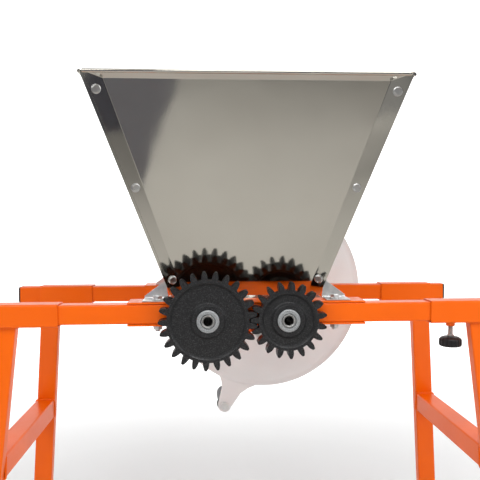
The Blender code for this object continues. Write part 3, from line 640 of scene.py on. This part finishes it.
def build_channel(end):
    """Folded channel round a cross tube, with a deeper plate in the middle that carries the shafts."""
    open_y, top, low = -0.0005, CHANNEL_TOP, CHANNEL_LOW
    points = [(open_y, top), (open_y, GAP), (WEB_BACK - SHEET, GAP), (WEB_BACK - SHEET, low + SHEET),
              (open_y, low + SHEET), (open_y, low), (WEB_BACK, low), (WEB_BACK, top)]
    section = filleted(points, [0.0012, 0.0012, 0.0018, 0.0018, 0.0012, 0.0012, 0.0048, 0.0048])
    body = prism([(-z, y) for y, z in section], -CHANNEL_HALF, CHANNEL_HALF)
    body.transform(ALONG_X)
    half, corner, drop = WEB_TAB_HALF, 0.012, -WEB_TAB_DROP
    tab = filleted([(-half - corner, low + 0.006), (-half, drop), (half, drop), (half + corner, low + 0.006)],
                   [0.0, 0.006, 0.006, 0.0])
    web = plate([(x, -z) for x, z in reversed(tab)], [], WEB_BACK - SHEET, WEB_BACK, 0.0004)
    web.transform(ALONG_Y)
    cutters = [cylinder(BEARING_HOLE, -0.01, 0.06, shifted((x, 0, SHAFT_Z)) @ ALONG_Y)
               for x in (-SHAFT_X, SHAFT_X)]
    cutters += [cylinder(BOLT_HOLE, -0.05, 0.01, shifted((x, TUBE / 2, 0))) for x in (-BOLT_X, BOLT_X)]
    mesh = mirrored(combined(combined(body, [web], "UNION"), cutters, "DIFFERENCE"), end)
    piece(f"clamp_channel_{end}", mesh, "paint", "head", [f"{end}_channel"], edge=EDGE)


def build_side_plate(side):
    front, back = WEB_BACK + GAP, 2 * MIDDLE_Y - WEB_BACK - GAP
    low, high = CHANNEL_LOW, CHANNEL_TOP
    body = plate(rounded(back - front, high - low, 0.002), [], SIDE_PLATE_X, SIDE_PLATE_X + SHEET, 0.0004)
    middle = shifted((0, (front + back) / 2, (low + high) / 2))
    body.transform(middle @ ALONG_X @ Matrix.Rotation(radians(90), 4, "Z"))
    x = SIDE_PLATE_X + SHEET + 0.0008
    beads = [bead([(x, y, low + 0.006), (x, y, high - 0.006)], 0.0016) for y in (front + 0.0006, back - 0.0006)]
    mesh = mirrored(joined(body, *beads), side=side)
    piece(f"chamber_plate_{side}", mesh, "paint", "head", [f"side_plate_{side}"])


def build_base_bolt(end, side):
    seat = SHEET + 3 * GAP + FOOT_PLATE
    nut_top = -TUBE - SHEET - 2 * GAP
    y = TUBE / 2 if end == "front" else BEAM_PITCH + TUBE / 2
    head = hexagonal(M8_FLATS, seat + 0.0016, seat + 0.0069)
    shank = thread(M8, M8_PITCH, -0.043, seat + 0.002)
    nut = hexagonal(M8_FLATS, nut_top - M8_NUT, nut_top - 0.0002, bore=0.0036)
    mesh = joined(washer(0.0042, 0.008, seat, seat + 0.0016), head, shank, nut)
    at = shifted((SIGN[side] * BOLT_X, y, 0)) @ Matrix.Rotation(radians(17 * SIGN[side]), 4, "Z")
    piece(f"through_bolt_{end}_{side}", mesh, "zinc", "head", [f"base_bolt_{end}_{side}"], at)


def build_hopper_foot(end, side):
    """Bent zinc-plated foot: a base plate under the bolt and a triangular upright."""
    base, seat = SHEET + 2 * GAP, SHEET + 2 * GAP + FOOT_PLATE
    inner, outer, front, back, top = 0.1235, 0.161, 0.004, 0.0455, 0.03
    points = [(front, base), (back, base), (back, top), (back - FOOT_PLATE, top), (back - FOOT_PLATE, seat),
              (front, seat)]
    section = filleted(points, [0, 0.0028, 0, 0, 0.0014, 0])

    def build(bm):
        skin(bm, [[bm.verts.new((x, y, z)) for y, z in section] for x in (inner, outer)])
        slopes = (((outer, 0, seat + 0.003), (inner + 0.008, 0, top)),
                  ((inner + 0.004, 0, top), (inner, 0, seat + 0.003)))
        for a, b in slopes:
            run = Vector(b) - Vector(a)
            away = Vector((run.z, 0, -run.x))
            if away.x * (a[0] - BOLT_X) < 0:
                away.negate()
            kept = bm.verts[:] + bm.edges[:] + bm.faces[:]
            cut = bmesh.ops.bisect_plane(bm, geom=kept, plane_co=a, plane_no=away, clear_outer=True)
            rim = [e for e in cut["geom_cut"] if isinstance(e, bmesh.types.BMEdge)]
            bmesh.ops.contextual_create(bm, geom=rim)

    hole = cylinder(BOLT_HOLE, 0, 0.02, shifted((BOLT_X, TUBE / 2, 0)))
    mesh = mirrored(combined(mesh_of(build), [hole], "DIFFERENCE"), end, side)
    piece(f"hopper_bracket_{end}_{side}", mesh, "zinc", "head", [f"hopper_foot_{end}_{side}"], edge=0.0002)


def build_bearing(end, side):
    bore, flange, body = BEARING_BORE, 0.023, 0.015
    profile = [(bore + 0.0005, -0.006), (body - 0.0005, -0.006), (body, -0.0055), (body, GAP),
               (flange - 0.0004, GAP), (flange, GAP + 0.0004), (flange, 0.004), (flange - 0.0005, 0.0045),
               (bore + 0.0005, 0.0045), (bore, 0.004), (bore, -0.0055)]
    y, turn = (WEB_BACK, ALONG_Y) if end == "front" else (2 * MIDDLE_Y - WEB_BACK, FACING_FRONT)
    at = shifted((SIGN[side] * SHAFT_X, y, SHAFT_Z)) @ turn
    piece(f"shaft_bearing_{end}_{side}", turned(profile, 48), "bronze", "head", [f"bearing_{end}_{side}"], at)


# ---------------- hopper
def cut_strip(short):
    """Rim corner, rim end and strip bottom of a front sheet whose right strip is cut short."""
    mitre, foot = EAR.normalized(), (STRIP_FOOT - HOPPER_BOTTOM).normalized()
    corner = RIM_CORNER - mitre * (short / mitre.dot(OUTWARD))
    rim_end = RIM_CORNER - Vector((short * RIM_CUT, 0, 0))
    return corner, rim_end, STRIP_FOOT - foot * (short / foot.dot(OUTWARD))


def folded_sheet(points, faces):
    """Middle surface of a sheet with rounded folds."""

    def build(bm):
        verts = [bm.verts.new(p) for p in points]
        for face in faces:
            bm.faces.new([verts[i] for i in face])
        folds = [e for e in bm.edges if len(e.link_faces) == 2]
        bmesh.ops.bevel(bm, geom=folds, offset=FOLD, segments=3, profile=0.5, affect="EDGES", offset_type="OFFSET")
        bmesh.ops.recalc_face_normals(bm, faces=bm.faces)

    return mesh_of(build, clean=False)


def sheet_piece(which, mesh):
    piece(f"hopper_sheet_{which}", mesh, "stainless", "head", [f"hopper_{which}"], smooth=50, thickness=SHEET_STEEL)


def build_hopper():
    bottom, top = HOPPER_BOTTOM, HOPPER_TOP
    corner, rim_end, foot = cut_strip(STRIP_CUT["right"])
    other_corner, other_end, other_foot = (FLIP_X @ p for p in cut_strip(STRIP_CUT["left"]))
    points = [FLIP_X @ bottom, bottom, top, FLIP_X @ top, foot, corner, rim_end, other_end, other_corner, other_foot]
    faces = [(0, 1, 2, 3), (1, 4, 5, 2), (3, 2, 5, 6, 7, 8), (0, 3, 8, 9)]
    for end in ENDS:
        sheet_piece(end, mirrored(folded_sheet(points, faces), end))
    lap = Vector((0, SHEET_STEP, 0))
    rise = (SIDE_BOTTOM - bottom.z) / CREASE.z
    points = [p + lap for p in (bottom.lerp(top, rise), top, RIM_CORNER, STRIP_FOOT)]
    points += [FLIP_Y @ p for p in points]
    faces = [(0, 4, 5, 1), (0, 1, 2, 3), (4, 7, 6, 5), (1, 5, 6, 2)]
    for side in SIDES:
        sheet_piece(side, mirrored(folded_sheet(points, faces), side=side))


def build_rolled_rim():
    """The safe edge that is rolled outward round the hopper's mouth."""
    rolls = []
    along_front = RIM_CORNER.x - STRIP_CUT["left"] * RIM_CUT
    along_side = MIDDLE_Y - RIM_CORNER.y - SHEET_STEP
    for slope, turn, reach, other in ((Vector((0, EAR.y, EAR.z)), ALONG_X, along_front, {"end": "rear"}),
                                      (Vector((EAR.x, 0, EAR.z)), ALONG_Y, along_side, {"side": "left"})):
        slope.normalize()
        down = slope.cross(turn @ Vector((0, 0, 1)))
        if down.z > 0:
            down.negate()
        middle = RIM_CORNER - slope * 0.0016 + down * 0.0026
        if turn is ALONG_X:
            middle.x = 0
        else:
            middle.y = MIDDLE_Y
        roll = loft([(circle(ROLL * 0.6, 20), -reach), (circle(ROLL, 20), -reach + 0.0008),
                     (circle(ROLL, 20), reach - 0.0008), (circle(ROLL * 0.6, 20), reach)])
        roll.transform(shifted(middle) @ turn)
        rolls += [roll, mirrored(roll.copy(), **other)]
    piece("hopper_rolled_rim", joined(*rolls), "stainless", "head")


def build_hopper_screws():
    """Three flange screws along each strip: head, shank and nut."""
    normal = CREASE.cross(OUTWARD).normalized()
    if normal.y > 0:
        normal.negate()
    turn = normal.to_track_quat("Z", "Y").to_matrix().to_4x4()
    for end in ENDS:
        for side in SIDES:
            screws = []
            for number, (share, inset) in enumerate(((0.091, 0.0082), (0.535, 0.0116), (0.967, 0.015))):
                seat = HOPPER_BOTTOM + CREASE * share + OUTWARD * inset + normal * (SHEET_STEEL / 2)
                at = shifted(seat) @ turn
                spun = at @ Matrix.Rotation(radians(11 + 23 * number), 4, "Z")
                screws += [(hexagonal(0.0106, 0.0002, 0.0056, flange=0.0069, flange_height=0.0012), spun),
                           (thread(0.003, 0.001, -0.013, 0.0004, 16), at),
                           (hexagonal(0.01, -0.0088, -0.004, bore=0.0027), spun)]
            piece(f"hopper_screws_{end}_{side}", mirrored(joined(*screws), end, side), "steel", "head")


# ---------------- gears, shafts, rollers
def gear_outline(teeth, phase):
    """Spur gear with involute flanks, filleted roots and rounded tips."""
    pitch = MODULE * teeth / 2
    base = pitch * cos(PRESSURE_ANGLE)
    root, tip = pitch - 1.25 * MODULE, pitch + MODULE
    half = (pi * MODULE / 2 - BACKLASH) / 2 / pitch

    def half_angle(radius):
        pressure = acos(min(1.0, base / radius))
        at_pitch = tan(PRESSURE_ANGLE) - PRESSURE_ANGLE
        return half + at_pitch - (tan(pressure) - pressure)

    start = max(base, root) + 0.0004
    flank = [(root, half_angle(start) + 0.016), (root + 0.0003, half_angle(start) + 0.006)]
    for i in range(5):
        radius = start + (tip - 0.0007 - start) * i / 4
        flank.append((radius, half_angle(radius)))
    flank += [(tip - 0.0002, half_angle(tip) * 0.86), (tip, half_angle(tip) * 0.55)]
    points = []
    for i in range(teeth):
        middle = phase + tau * i / teeth
        points += [polar(r, middle - a) for r, a in flank]
        points += [polar(r, middle + a) for r, a in reversed(flank)]
    return points


def build_gear(name, teeth, phase, body, at):
    """Moulded spur gear: toothed rim, recessed web and a raised boss round a grainy steel bush."""
    front, back = GEAR_FRONT, GEAR_FRONT + GEAR_WIDTH
    inner = MODULE * teeth / 2 - 2.0 * MODULE
    ring = plate(gear_outline(teeth, phase), [circle(inner, 96)], front, back, 0.0004)
    face = [(inner + 0.0012, 0.0004), (inner + 0.0002, 0.0004), (inner - 0.0004, 0.0008), (inner - 0.0026, 0.0026),
            (inner - 0.0034, 0.0038), (inner - 0.004, 0.0043), (0.0282, 0.0043), (0.0272, 0.004), (0.0256, 0.0026),
            (0.0246, 0.0008), (0.0238, 0.0002), (0.023, 0.0), (BUSH_RADIUS + 0.001, 0.0), (BUSH_RADIUS + GAP, 0.0006)]
    profile = [(r, front + d) for r, d in face] + [(r, back - d) for r, d in reversed(face)]
    piece(f"{name}_wheel", joined(ring, turned(profile, 96)), "gear", body, [name], at)

    proud = front - 0.0015
    bore = SHAFT_RADIUS + GAP
    bush = [(bore + 0.0012, proud), (BUSH_RADIUS - 0.0012, proud), (BUSH_RADIUS, proud + 0.001),
            (BUSH_RADIUS, back - 0.0006), (BUSH_RADIUS - 0.0006, back), (bore, back), (bore, proud + 0.0016)]
    piece(f"{name}_steel_bush", turned(bush, 64), "sintered", body, [f"{name}_bush"], at)


def build_shaft(name, length, tail, body, at):
    """Shaft with a bored front end. tail is the length of the thread at its back end."""
    start = GEAR_FRONT - 0.002
    end = start + length
    full, floor = end - tail, start + SHAFT_BORE_DEPTH
    profile = [(0, floor), (SHAFT_BORE, floor), (SHAFT_BORE, start + 0.0016), (SHAFT_BORE + 0.0016, start),
               (SHAFT_RADIUS - 0.0008, start), (SHAFT_RADIUS, start + 0.0008), (SHAFT_RADIUS, full - 0.001),
               (SHAFT_RADIUS - 0.001, full), (0, full)]
    parts = [turned(profile, 64)]
    if tail:
        parts.append(thread(0.0059, 0.00175, full - 0.002, end, 24))
    piece(f"{name}_turned", joined(*parts), "steel", body, [name], at)


def build_roller(name, phase, body, at):
    """Crushing roller with rounded lengthwise flutes."""
    shape = [(0.0, 0.0), (0.06, 0.0), (0.15, 0.0), (0.24, 0.0), (0.3, 0.02), (0.36, 0.14), (0.43, 0.5), (0.5, 0.86),
             (0.56, 0.98), (0.65, 1.0), (0.74, 0.98), (0.8, 0.86), (0.87, 0.5), (0.94, 0.14)]
    points = [polar(ROLLER_RADIUS - FLUTE_DEPTH * drop, phase + tau * (i + part) / FLUTES)
              for i in range(FLUTES) for part, drop in shape]
    start = MIDDLE_Y - ROLLER_LENGTH / 2
    fluted = plate(points, [circle(SHAFT_RADIUS + GAP, 48)], start, start + ROLLER_LENGTH, 0.0006)
    rings = [turned([(0.0125, low), (0.024, low), (0.024, low + 0.001), (0.0125, low + 0.001)], 48)
             for low in (start - 0.0001, start + ROLLER_LENGTH - 0.0009)]
    piece(f"{name}_fluted", joined(fluted, *rings), "aluminium", body, [name], at)


# ---------------- hand wheel and crank
def build_hand_wheel(at):
    """Moulded dished wheel: hub, dish, turned-back rim, ribs behind, and the crank's lug."""
    rim = WHEEL_RADIUS
    front = [(0.0106, HUB_FRONT), (0.0295, HUB_FRONT), (0.0312, HUB_FRONT + 0.0005), (0.032, HUB_FRONT + 0.002),
             (0.0328, 0.3475), (0.0345, 0.351), (0.039, 0.353), (0.07, 0.3568), (0.105, 0.3614),
             (0.135, 0.368), (0.16, 0.3748), (0.178, 0.3816), (0.192, 0.39), (0.199, 0.3958),
             (0.203, 0.3988), (0.208, WHEEL_FACE), (0.212, WHEEL_FACE), (rim - 0.0006, WHEEL_FACE + 0.0005),
             (rim, WHEEL_FACE + 0.0018), (rim, WHEEL_BACK - 0.001), (rim - 0.001, WHEEL_BACK)]
    back = [(rim - 0.003, WHEEL_BACK), (rim - 0.004, WHEEL_BACK - 0.001), (rim - 0.004, 0.4075),
            (rim - 0.0055, 0.4045), (0.205, 0.403), (0.2, 0.4012), (0.1955, 0.3975), (0.19, 0.3932),
            (0.1765, 0.3852), (0.159, 0.3786), (0.134, 0.3718), (0.104, 0.3654), (0.07, 0.3608),
            (0.037, 0.357), (0.033, 0.359), (0.032, 0.362), (0.032, HUB_BACK - 0.001),
            (0.031, HUB_BACK), (0.0106, HUB_BACK)]
    wheel = turned(front + back, 144)

    along = Vector(polar(1, CRANK_ANGLE))
    side = Vector((-along.y, along.x))
    root = 0.2115
    outline = [along * root * 0.985 - side * 0.034, along * (root + 0.01) - side * 0.024,
               along * (root + 0.024) - side * 0.0175]
    outline += [along * (CRANK_RADIUS + LUG_END * cos(a)) + side * LUG_END * sin(a)
                for a in [radians(-90 + 15 * i) for i in range(13)]]
    outline += [along * (root + 0.024) + side * 0.0255, along * (root + 0.008) + side * 0.038,
                along * root * 0.96 + side * 0.058]
    flat = [(p.x, -p.y) for p in reversed(outline)]
    hole_at = along * CRANK_RADIUS
    hole = [(hole_at.x + x, -hole_at.y + y) for x, y in circle(GRIP_BORE, 32)]
    lug = plate(flat, [hole], LUG_FRONT, LUG_BACK, 0.0012)

    rib = [(0.033, 0.3595), (0.033, 0.37), (0.105, 0.376), (0.165, 0.388), (0.196, 0.405),
           (rim - 0.005, 0.418), (rim - 0.005, 0.4046), (0.2, 0.4012), (0.19, 0.3932), (0.159, 0.3786),
           (0.104, 0.3654)]
    ribs = []
    for i in range(WHEEL_RIBS):
        turn = Matrix.Rotation(tau * i / WHEEL_RIBS + 0.2, 4, "Z") @ FACING_FRONT
        ribs.append((prism([(r, z - 0.0006) for r, z in rib], -0.0012, 0.0012), turn))
    piece("hand_wheel_moulding", joined(wheel, lug, *ribs), "wheel", "drive", ["hand_wheel"], at, smooth=40)

    low = HUB_BACK + GAP
    nut = hexagonal(0.019, low, low + 0.01, chamfer=0.0012, bore=0.0058, flange=0.0125, flange_height=0.002)
    piece("wheel_lock_nut", nut, "zinc", "drive", ["wheel_nut"], at)


def build_crank(at):
    """Crank bolt through the lug, and the grip that turns on it."""
    seat = LUG_FRONT - GAP
    head = hexagonal(0.016, seat - 0.0065, seat, chamfer=0.001)
    low, high = seat - 0.002, GRIP_BACK + 0.001
    shank = turned([(0, low), (0.0049, low), (0.0049, high), (0, high)], 32)
    cap = hexagonal(0.016, GRIP_BACK + 2 * GAP, GRIP_BACK + 0.0062, chamfer=0.0004)
    dome = [(0, 0.005), (0.0072, 0.005), (0.007, 0.0068), (0.0058, 0.0086), (0.0034, 0.0097), (0, 0.01)]
    dome = turned([(r, GRIP_BACK + z) for r, z in dome], 40)
    piece("crank_pivot_bolt", joined(head, shank, cap, dome), "zinc", "drive", ["crank_bolt"], at)

    bore, length = GRIP_BORE, GRIP_BACK - GRIP_FRONT
    shape = [(bore, 0), (0.013, 0), (0.0142, 0.0006), (0.016, 0.0022), (0.0165, 0.0034), (0.0165, 0.0064),
             (0.016, 0.008), (0.014, 0.011), (0.0127, 0.014), (0.0128, 0.02), (0.0138, 0.034),
             (0.0148, 0.05), (0.0156, 0.068), (0.016, 0.082), (0.0158, 0.09), (0.015, 0.096),
             (0.0136, 0.1005), (0.0116, 0.1035), (0.01, length), (bore, length)]
    grip = turned([(r, GRIP_FRONT + z) for r, z in shape], 48)
    piece("crank_handle_grip", grip, "plastic", "grip", ["crank_grip"], at)


# ---------------- trestle end frames
def lean(mesh, facing):
    """Leans a leg outward and away from the machine as it goes down."""
    for v in mesh.vertices:
        drop = LEG_TOP - v.co.z
        v.co.x += LEAN_X * drop
        v.co.y = facing * (v.co.y - LEAN_Y * drop)
    if facing < 0:
        mesh.flip_normals()
    return mesh


def build_end_frame(side):
    """One trestle end, built as the right one. The left one is the same frame turned half round."""
    at = ABOUT_MIDDLE @ (HALF_TURN if side == "left" else Matrix.Identity(4))
    body = f"{side}_end_frame"
    near, far = ENDS if side == "right" else reversed(ENDS)
    for end, facing in ((near, 1), (far, -1)):
        y = -facing * LEG_Y
        here = at @ shifted((0, y, SLEEVE_TOP - SLEEVE / 2)) @ ALONG_X
        sleeve = bar(SLEEVE, SLEEVE, SLEEVE_WALL, SLEEVE_INNER_END, SLEEVE_INNER_END + SLEEVE_LENGTH, 0.0032)
        if facing > 0:
            hole = cylinder(BOLT_HOLE, -0.03, 0.0, ALONG_X.inverted() @ shifted((SCREW_X, 0, 0)))
            sleeve = combined(sleeve, [hole], "DIFFERENCE")
        piece(f"{side}_sliding_sleeve_{end}", sleeve, "paint", body, [f"{side}_sleeve_{end}"], here, edge=EDGE)

        stand = at @ shifted((LEG_X, y, 0))
        leg = lean(bar(LEG_WIDTH, LEG_DEPTH, LEG_WALL, FLOOR + 0.0043, LEG_TOP), facing)
        piece(f"{side}_trestle_leg_{end}", leg, "paint", body, [f"{side}_leg_{end}"], stand, edge=EDGE)
        outline = rounded(LEG_WIDTH + 0.0012, LEG_DEPTH + 0.0012, 0.004, 3)
        drop = 0.0006
        path = [(x + LEAN_X * drop, y - LEAN_Y * drop, LEG_TOP - drop) for x, y in outline]
        seam = bead(path, 0.0017, closed=True)
        if facing < 0:
            seam.transform(Matrix.Scale(-1, 4, (0, 1, 0)))
            seam.flip_normals()
        piece(f"{side}_leg_weld_{end}", seam, "paint", body, (), stand, smooth=80)

        grow = 2 * (GAP + FOOT_WALL)
        shape = [(0.004, 0.0), (0.0016, 0.0006), (0.0, 0.0022), (0.0, 0.018), (0.0008, 0.0186), (0.0008, 0.0198),
                 (0.0, 0.0204), (0.0, FOOT_HEIGHT - 0.0006), (0.001, FOOT_HEIGHT), (2 * FOOT_WALL, FOOT_HEIGHT),
                 (2 * FOOT_WALL, 0.004)]
        cup = loft([(rounded(LEG_WIDTH + grow - less, LEG_DEPTH + grow - less, 0.003), FLOOR + z)
                    for less, z in shape])
        piece(f"{side}_rubber_foot_{end}", lean(cup, facing), "plastic", body, [f"{side}_foot_{end}"], stand)

    middle = BRACE_TOP - SLEEVE / 2

    def reach(height, gap):
        return LEG_Y - LEG_DEPTH / 2 - gap + LEAN_Y * (LEG_TOP - height)

    brace = bar(SLEEVE, SLEEVE, LEG_WALL, -1, 1)
    for v in brace.vertices:
        height = middle + v.co.y
        v.co = Vector((v.co.x, v.co.z * reach(height, GAP), height))
    brace.flip_normals()
    here = at @ shifted((LEG_X + LEAN_X * (LEG_TOP - middle), 0, 0))
    piece(f"{side}_trestle_brace", brace, "paint", body, [f"{side}_brace"], here, edge=EDGE)
    seam = rounded(SLEEVE + 0.001, SLEEVE + 0.001, 0.004, 3)
    beads = [bead([(x, facing * reach(middle + z, 0.0006), middle + z) for x, z in seam], 0.0019, closed=True)
             for facing in (-1, 1)]
    piece(f"{side}_brace_welds", joined(*beads), "paint", body, (), here, smooth=80)

    screw_at = at @ shifted((SCREW_X, -LEG_Y, 0))
    top = SLEEVE_BOTTOM - GAP
    nut = hexagonal(M8_FLATS, top - M8_NUT, top, bore=0.0043)
    ring = bead([(x, y, top - 0.0006) for x, y in circle(0.0072, 18)], 0.0012, closed=True)
    piece(f"{side}_welded_nut", joined(nut, ring), "paint", body, [f"{side}_weld_nut"], screw_at, smooth=30)
    build_clamp(side, screw_at)


def build_clamp(side, at):
    """Clamp screw under a sleeve, with its ribbed knob."""
    stud = joined(
        thread(M8, M8_PITCH, KNOB_TOP + 0.003, -TUBE - GAP),
        turned([(r, KNOB_TOP + z) for r, z in (
            (0, -0.01), (0.0038, -0.01), (0.0038, GAP), (0.0051, GAP), (0.0055, 0.0008), (0.0055, 0.0026),
            (0.005, 0.0031), (0, 0.0031))], 40),
    )
    piece(f"{side}_clamp_screw", stud, "steel", f"{side}_clamp_screw", [f"{side}_clamp_stud"], at)

    count = KNOB_RIBS * 8

    def ribbed(radius, depth):
        turns = [tau * i / count for i in range(count)]
        return [polar(radius - depth * (0.5 - 0.5 * cos(KNOB_RIBS * a)) ** 3, a) for a in turns]

    r = KNOB_RADIUS
    shape = [(0.0046, 0, 0), (0.0095, 0, 0), (0.012, 0, 0.0004), (0.0142, 0, 0.0014), (r - 0.0014, 0.0004, 0.0028),
             (r - 0.0004, 0.001, 0.0042), (r, 0.0013, 0.0056), (r, 0.0013, 0.0128), (r - 0.0006, 0.0011, 0.0142),
             (r - 0.0022, 0.0006, 0.0151), (r - 0.004, 0, KNOB_HEIGHT), (r - 0.006, 0, KNOB_HEIGHT),
             (r - 0.0068, 0, KNOB_HEIGHT - 0.0008), (0.002, 0, KNOB_HEIGHT - 0.0008)]
    levels = [(circle(0.0043, count), KNOB_TOP - 0.0103), (circle(0.0043, count), KNOB_TOP - 0.0004)]
    levels += [(ribbed(radius, depth), KNOB_TOP - down) for radius, depth, down in shape]
    piece(f"{side}_ribbed_knob", loft(levels), "plastic", f"{side}_clamp_knob", [f"{side}_clamp_knob"], at)


# ---------------- the object
def build_object():
    for end in ENDS:
        build_cross_tube(end)
        build_channel(end)
        for side in SIDES:
            build_base_bolt(end, side)
            build_hopper_foot(end, side)
            build_bearing(end, side)
    for side in SIDES:
        build_side_plate(side)
        build_end_frame(side)
    build_hopper()
    build_rolled_rim()
    build_hopper_screws()

    driven, drive = [shifted((x, 0, SHAFT_Z)) @ ALONG_Y for x in (-SHAFT_X, SHAFT_X)]
    gap_turn = MESH_TURN / (MODULE * GEAR_TEETH / 2)
    build_gear("driven_gear", GEAR_TEETH, pi / GEAR_TEETH - gap_turn, "driven", driven)
    build_gear("drive_pinion", PINION_TEETH, pi + MESH_TURN / (MODULE * PINION_TEETH / 2), "drive", drive)
    build_shaft("driven_shaft", 0.292, 0, "driven", driven)
    build_shaft("drive_shaft", 0.422, 0.02, "drive", drive)
    build_roller("driven_roller", 0.1, "driven", driven)
    build_roller("drive_roller", 0.25, "drive", drive)
    build_hand_wheel(drive)
    crank = shifted((CRANK_RADIUS * cos(CRANK_ANGLE), 0, CRANK_RADIUS * sin(CRANK_ANGLE)))
    build_crank(crank @ drive)


# ---------------- studio
FRONT_LIGHT = 0.3  # strength of the world's light from the front
BACK_LIGHT = 0.55
GLOW_NEAR, GLOW_FAR = 0.04, 0.8  # the floor's own light under the object and far away
GLOW_SPAN = (0.4, 2.2)
GLOW_ON_OBJECT = 0.3  # the share of it that the object gets
ROOM_HALF, ROOM_FRONT, ROOM_TOP = 7.0, -6.0, 6.0
SWEEP_START, SWEEP_RADIUS = 3.0, 1.5
FLAG_Y = -0.94
FLAGS = {
    "left_flag": ((0.185, 0.188, 0.214), [(-1.2, 0.34), (-0.262, 0.34), (-0.235, 0.43), (-0.212, 0.51), (-0.15, 0.67),
                                          (-0.105, 0.8), (-0.105, 0.98), (-1.2, 0.98)]),
    "right_flag": ((0.06, 0.062, 0.082), [(0.055, 0.8), (0.075, 0.7), (0.25, 0.7), (0.31, 0.86), (1.0, 0.86),
                                           (1.0, 1.25), (0.055, 1.25)]),
}
LIGHTS = {  # place, target, size and power
    "key": ((-1.4, -2.1, 2.4), (0, 0, 0.55), (1.6, 1.6), 32),
    "edge": ((0.35, -1.25, 2.3), (0, -0.2, 0.5), (1.3, 0.3), 12),
    "fill": ((1.9, -1.7, 1.5), (0, 0, 0.5), (1.4, 1.6), 22),
    "top": ((0.2, 0.5, 2.7), (0, 0.1, 0.5), (2.0, 1.6), 12),
    "backdrop": ((0, 2.2, 2.6), (0, 4.4, 1.2), (4.0, 1.2), 55),
}
CAMERA_SPOT = (-0.0597, -0.9146, 0.1244)
CAMERA_DOWN, CAMERA_RIGHT, CAMERA_ROLL = 1.66, 3.04, -0.15  # degrees
CAMERA_LENS = 45


def floor_paper():
    """Pale paper that brightens away from the object, more to the camera than to the object."""
    n = material("pale_paper", Base_Color=(0.86, 0.86, 0.86, 1), Roughness=0.7, Emission_Color=(1, 1, 1, 1))
    away = n.add("ShaderNodeVectorMath", operation="LENGTH")
    n.link(n.place, away.inputs[0])
    seen, lit = [n.ranged(away.outputs["Value"], GLOW_SPAN, share * GLOW_NEAR, share * GLOW_FAR,
                          interpolation_type="SMOOTHSTEP") for share in (1.0, GLOW_ON_OBJECT)]
    n.link(n.for_camera(seen, lit), n.shader.inputs["Emission Strength"])
    n.bump((n.noise(300, 2), 0.0002))
    return n.made


def build_floor():
    """Floor that curves up into a backdrop far behind the object."""
    start, radius = SWEEP_START, SWEEP_RADIUS
    profile = [(ROOM_FRONT, 0.0), (start, 0.0)]
    profile += [(start + radius * sin(a), radius - radius * cos(a))
                for a in [radians(9 * i) for i in range(1, 11)]]
    profile += [(start + radius, ROOM_TOP)]

    def build(bm):
        rows = [[bm.verts.new((x, y, z)) for y, z in profile] for x in (-ROOM_HALF, ROOM_HALF)]
        for i in range(len(profile) - 1):
            bm.faces.new((rows[0][i], rows[1][i], rows[1][i + 1], rows[0][i + 1]))

    mesh = mesh_of(build)
    mesh.shade_smooth()
    mesh.materials.append(floor_paper())
    add_object("floor", mesh)


def mirror_only(name, mesh, material, at=Matrix.Identity(4)):
    """A studio board that only mirrors see. It gives the steel its dark and warm areas."""
    mesh.materials.append(material)
    board = add_object(name, mesh)
    board.matrix_world = at
    for ray in ("visible_camera", "visible_diffuse", "visible_shadow", "visible_transmission"):
        setattr(board, ray, False)


def build_boards():
    """Two dark upright boards in front of the object, and a warm grey card on the floor that is darker to the
    right and glows far to the left."""
    for name, (colour, outline) in FLAGS.items():
        made = material(name, Base_Color=(*colour, 1), Roughness=0.9).made
        mirror_only(name, prism(outline, 0.0, 0.01), made, shifted((0, FLAG_Y, 0)) @ FACING_FRONT)
    n = material("warm_card", Roughness=0.9, Emission_Color=(1, 0.97, 0.93, 1))
    n.link(n.along("X", (-1.0, -1.7), 0.0, 0.36), n.shader.inputs["Emission Strength"])
    n.colour(n.along("X", (0.0, 1.6), 0.0, 1.0), [(0.0, (0.6, 0.585, 0.56)), (1.0, (0.44, 0.425, 0.405))])
    outline = [(-ROOM_HALF, ROOM_FRONT), (ROOM_HALF, ROOM_FRONT), (ROOM_HALF, 0.3), (-ROOM_HALF, 0.3)]
    mirror_only("floor_card", prism(outline, 0.001, 0.003), n.made)


def build_lights():
    for name, (place, target, size, power) in LIGHTS.items():
        light = bpy.data.lights.new(name, "AREA")
        light.shape = "RECTANGLE"
        light.size, light.size_y = size
        light.energy = power
        obj = add_object(name, light)
        obj.location = place
        obj.rotation_euler = (Vector(target) - Vector(place)).to_track_quat("-Z", "Y").to_euler()


def build_world():
    """White to the camera. The light it gives is dim from the front and brighter from behind."""
    world = bpy.data.worlds.new("studio")
    n = Nodes(world, "Background", "Generated")
    n.set(Color=(1, 1, 1, 1))
    lit = n.along("Y", (-0.6, 0.7), FRONT_LIGHT, BACK_LIGHT)
    n.link(n.for_camera(1.0, lit), n.shader.inputs["Strength"])
    bpy.context.scene.world = world


def build_camera():
    data = bpy.data.cameras.new("camera")
    data.lens = CAMERA_LENS
    data.sensor_width = 36
    camera = add_object("camera", data)
    aim = Euler((radians(90 - CAMERA_DOWN), 0, radians(-CAMERA_RIGHT))).to_matrix().to_4x4()
    roll = Matrix.Rotation(radians(CAMERA_ROLL), 4, "Z")
    camera.matrix_world = MACHINE @ shifted(CAMERA_SPOT) @ aim @ roll
    bpy.context.scene.camera = camera


build_object()
build_floor()
build_boards()
build_lights()
build_world()
build_camera()
scene = bpy.context.scene
scene.view_settings.view_transform = "Standard"
scene.view_settings.look = "None"
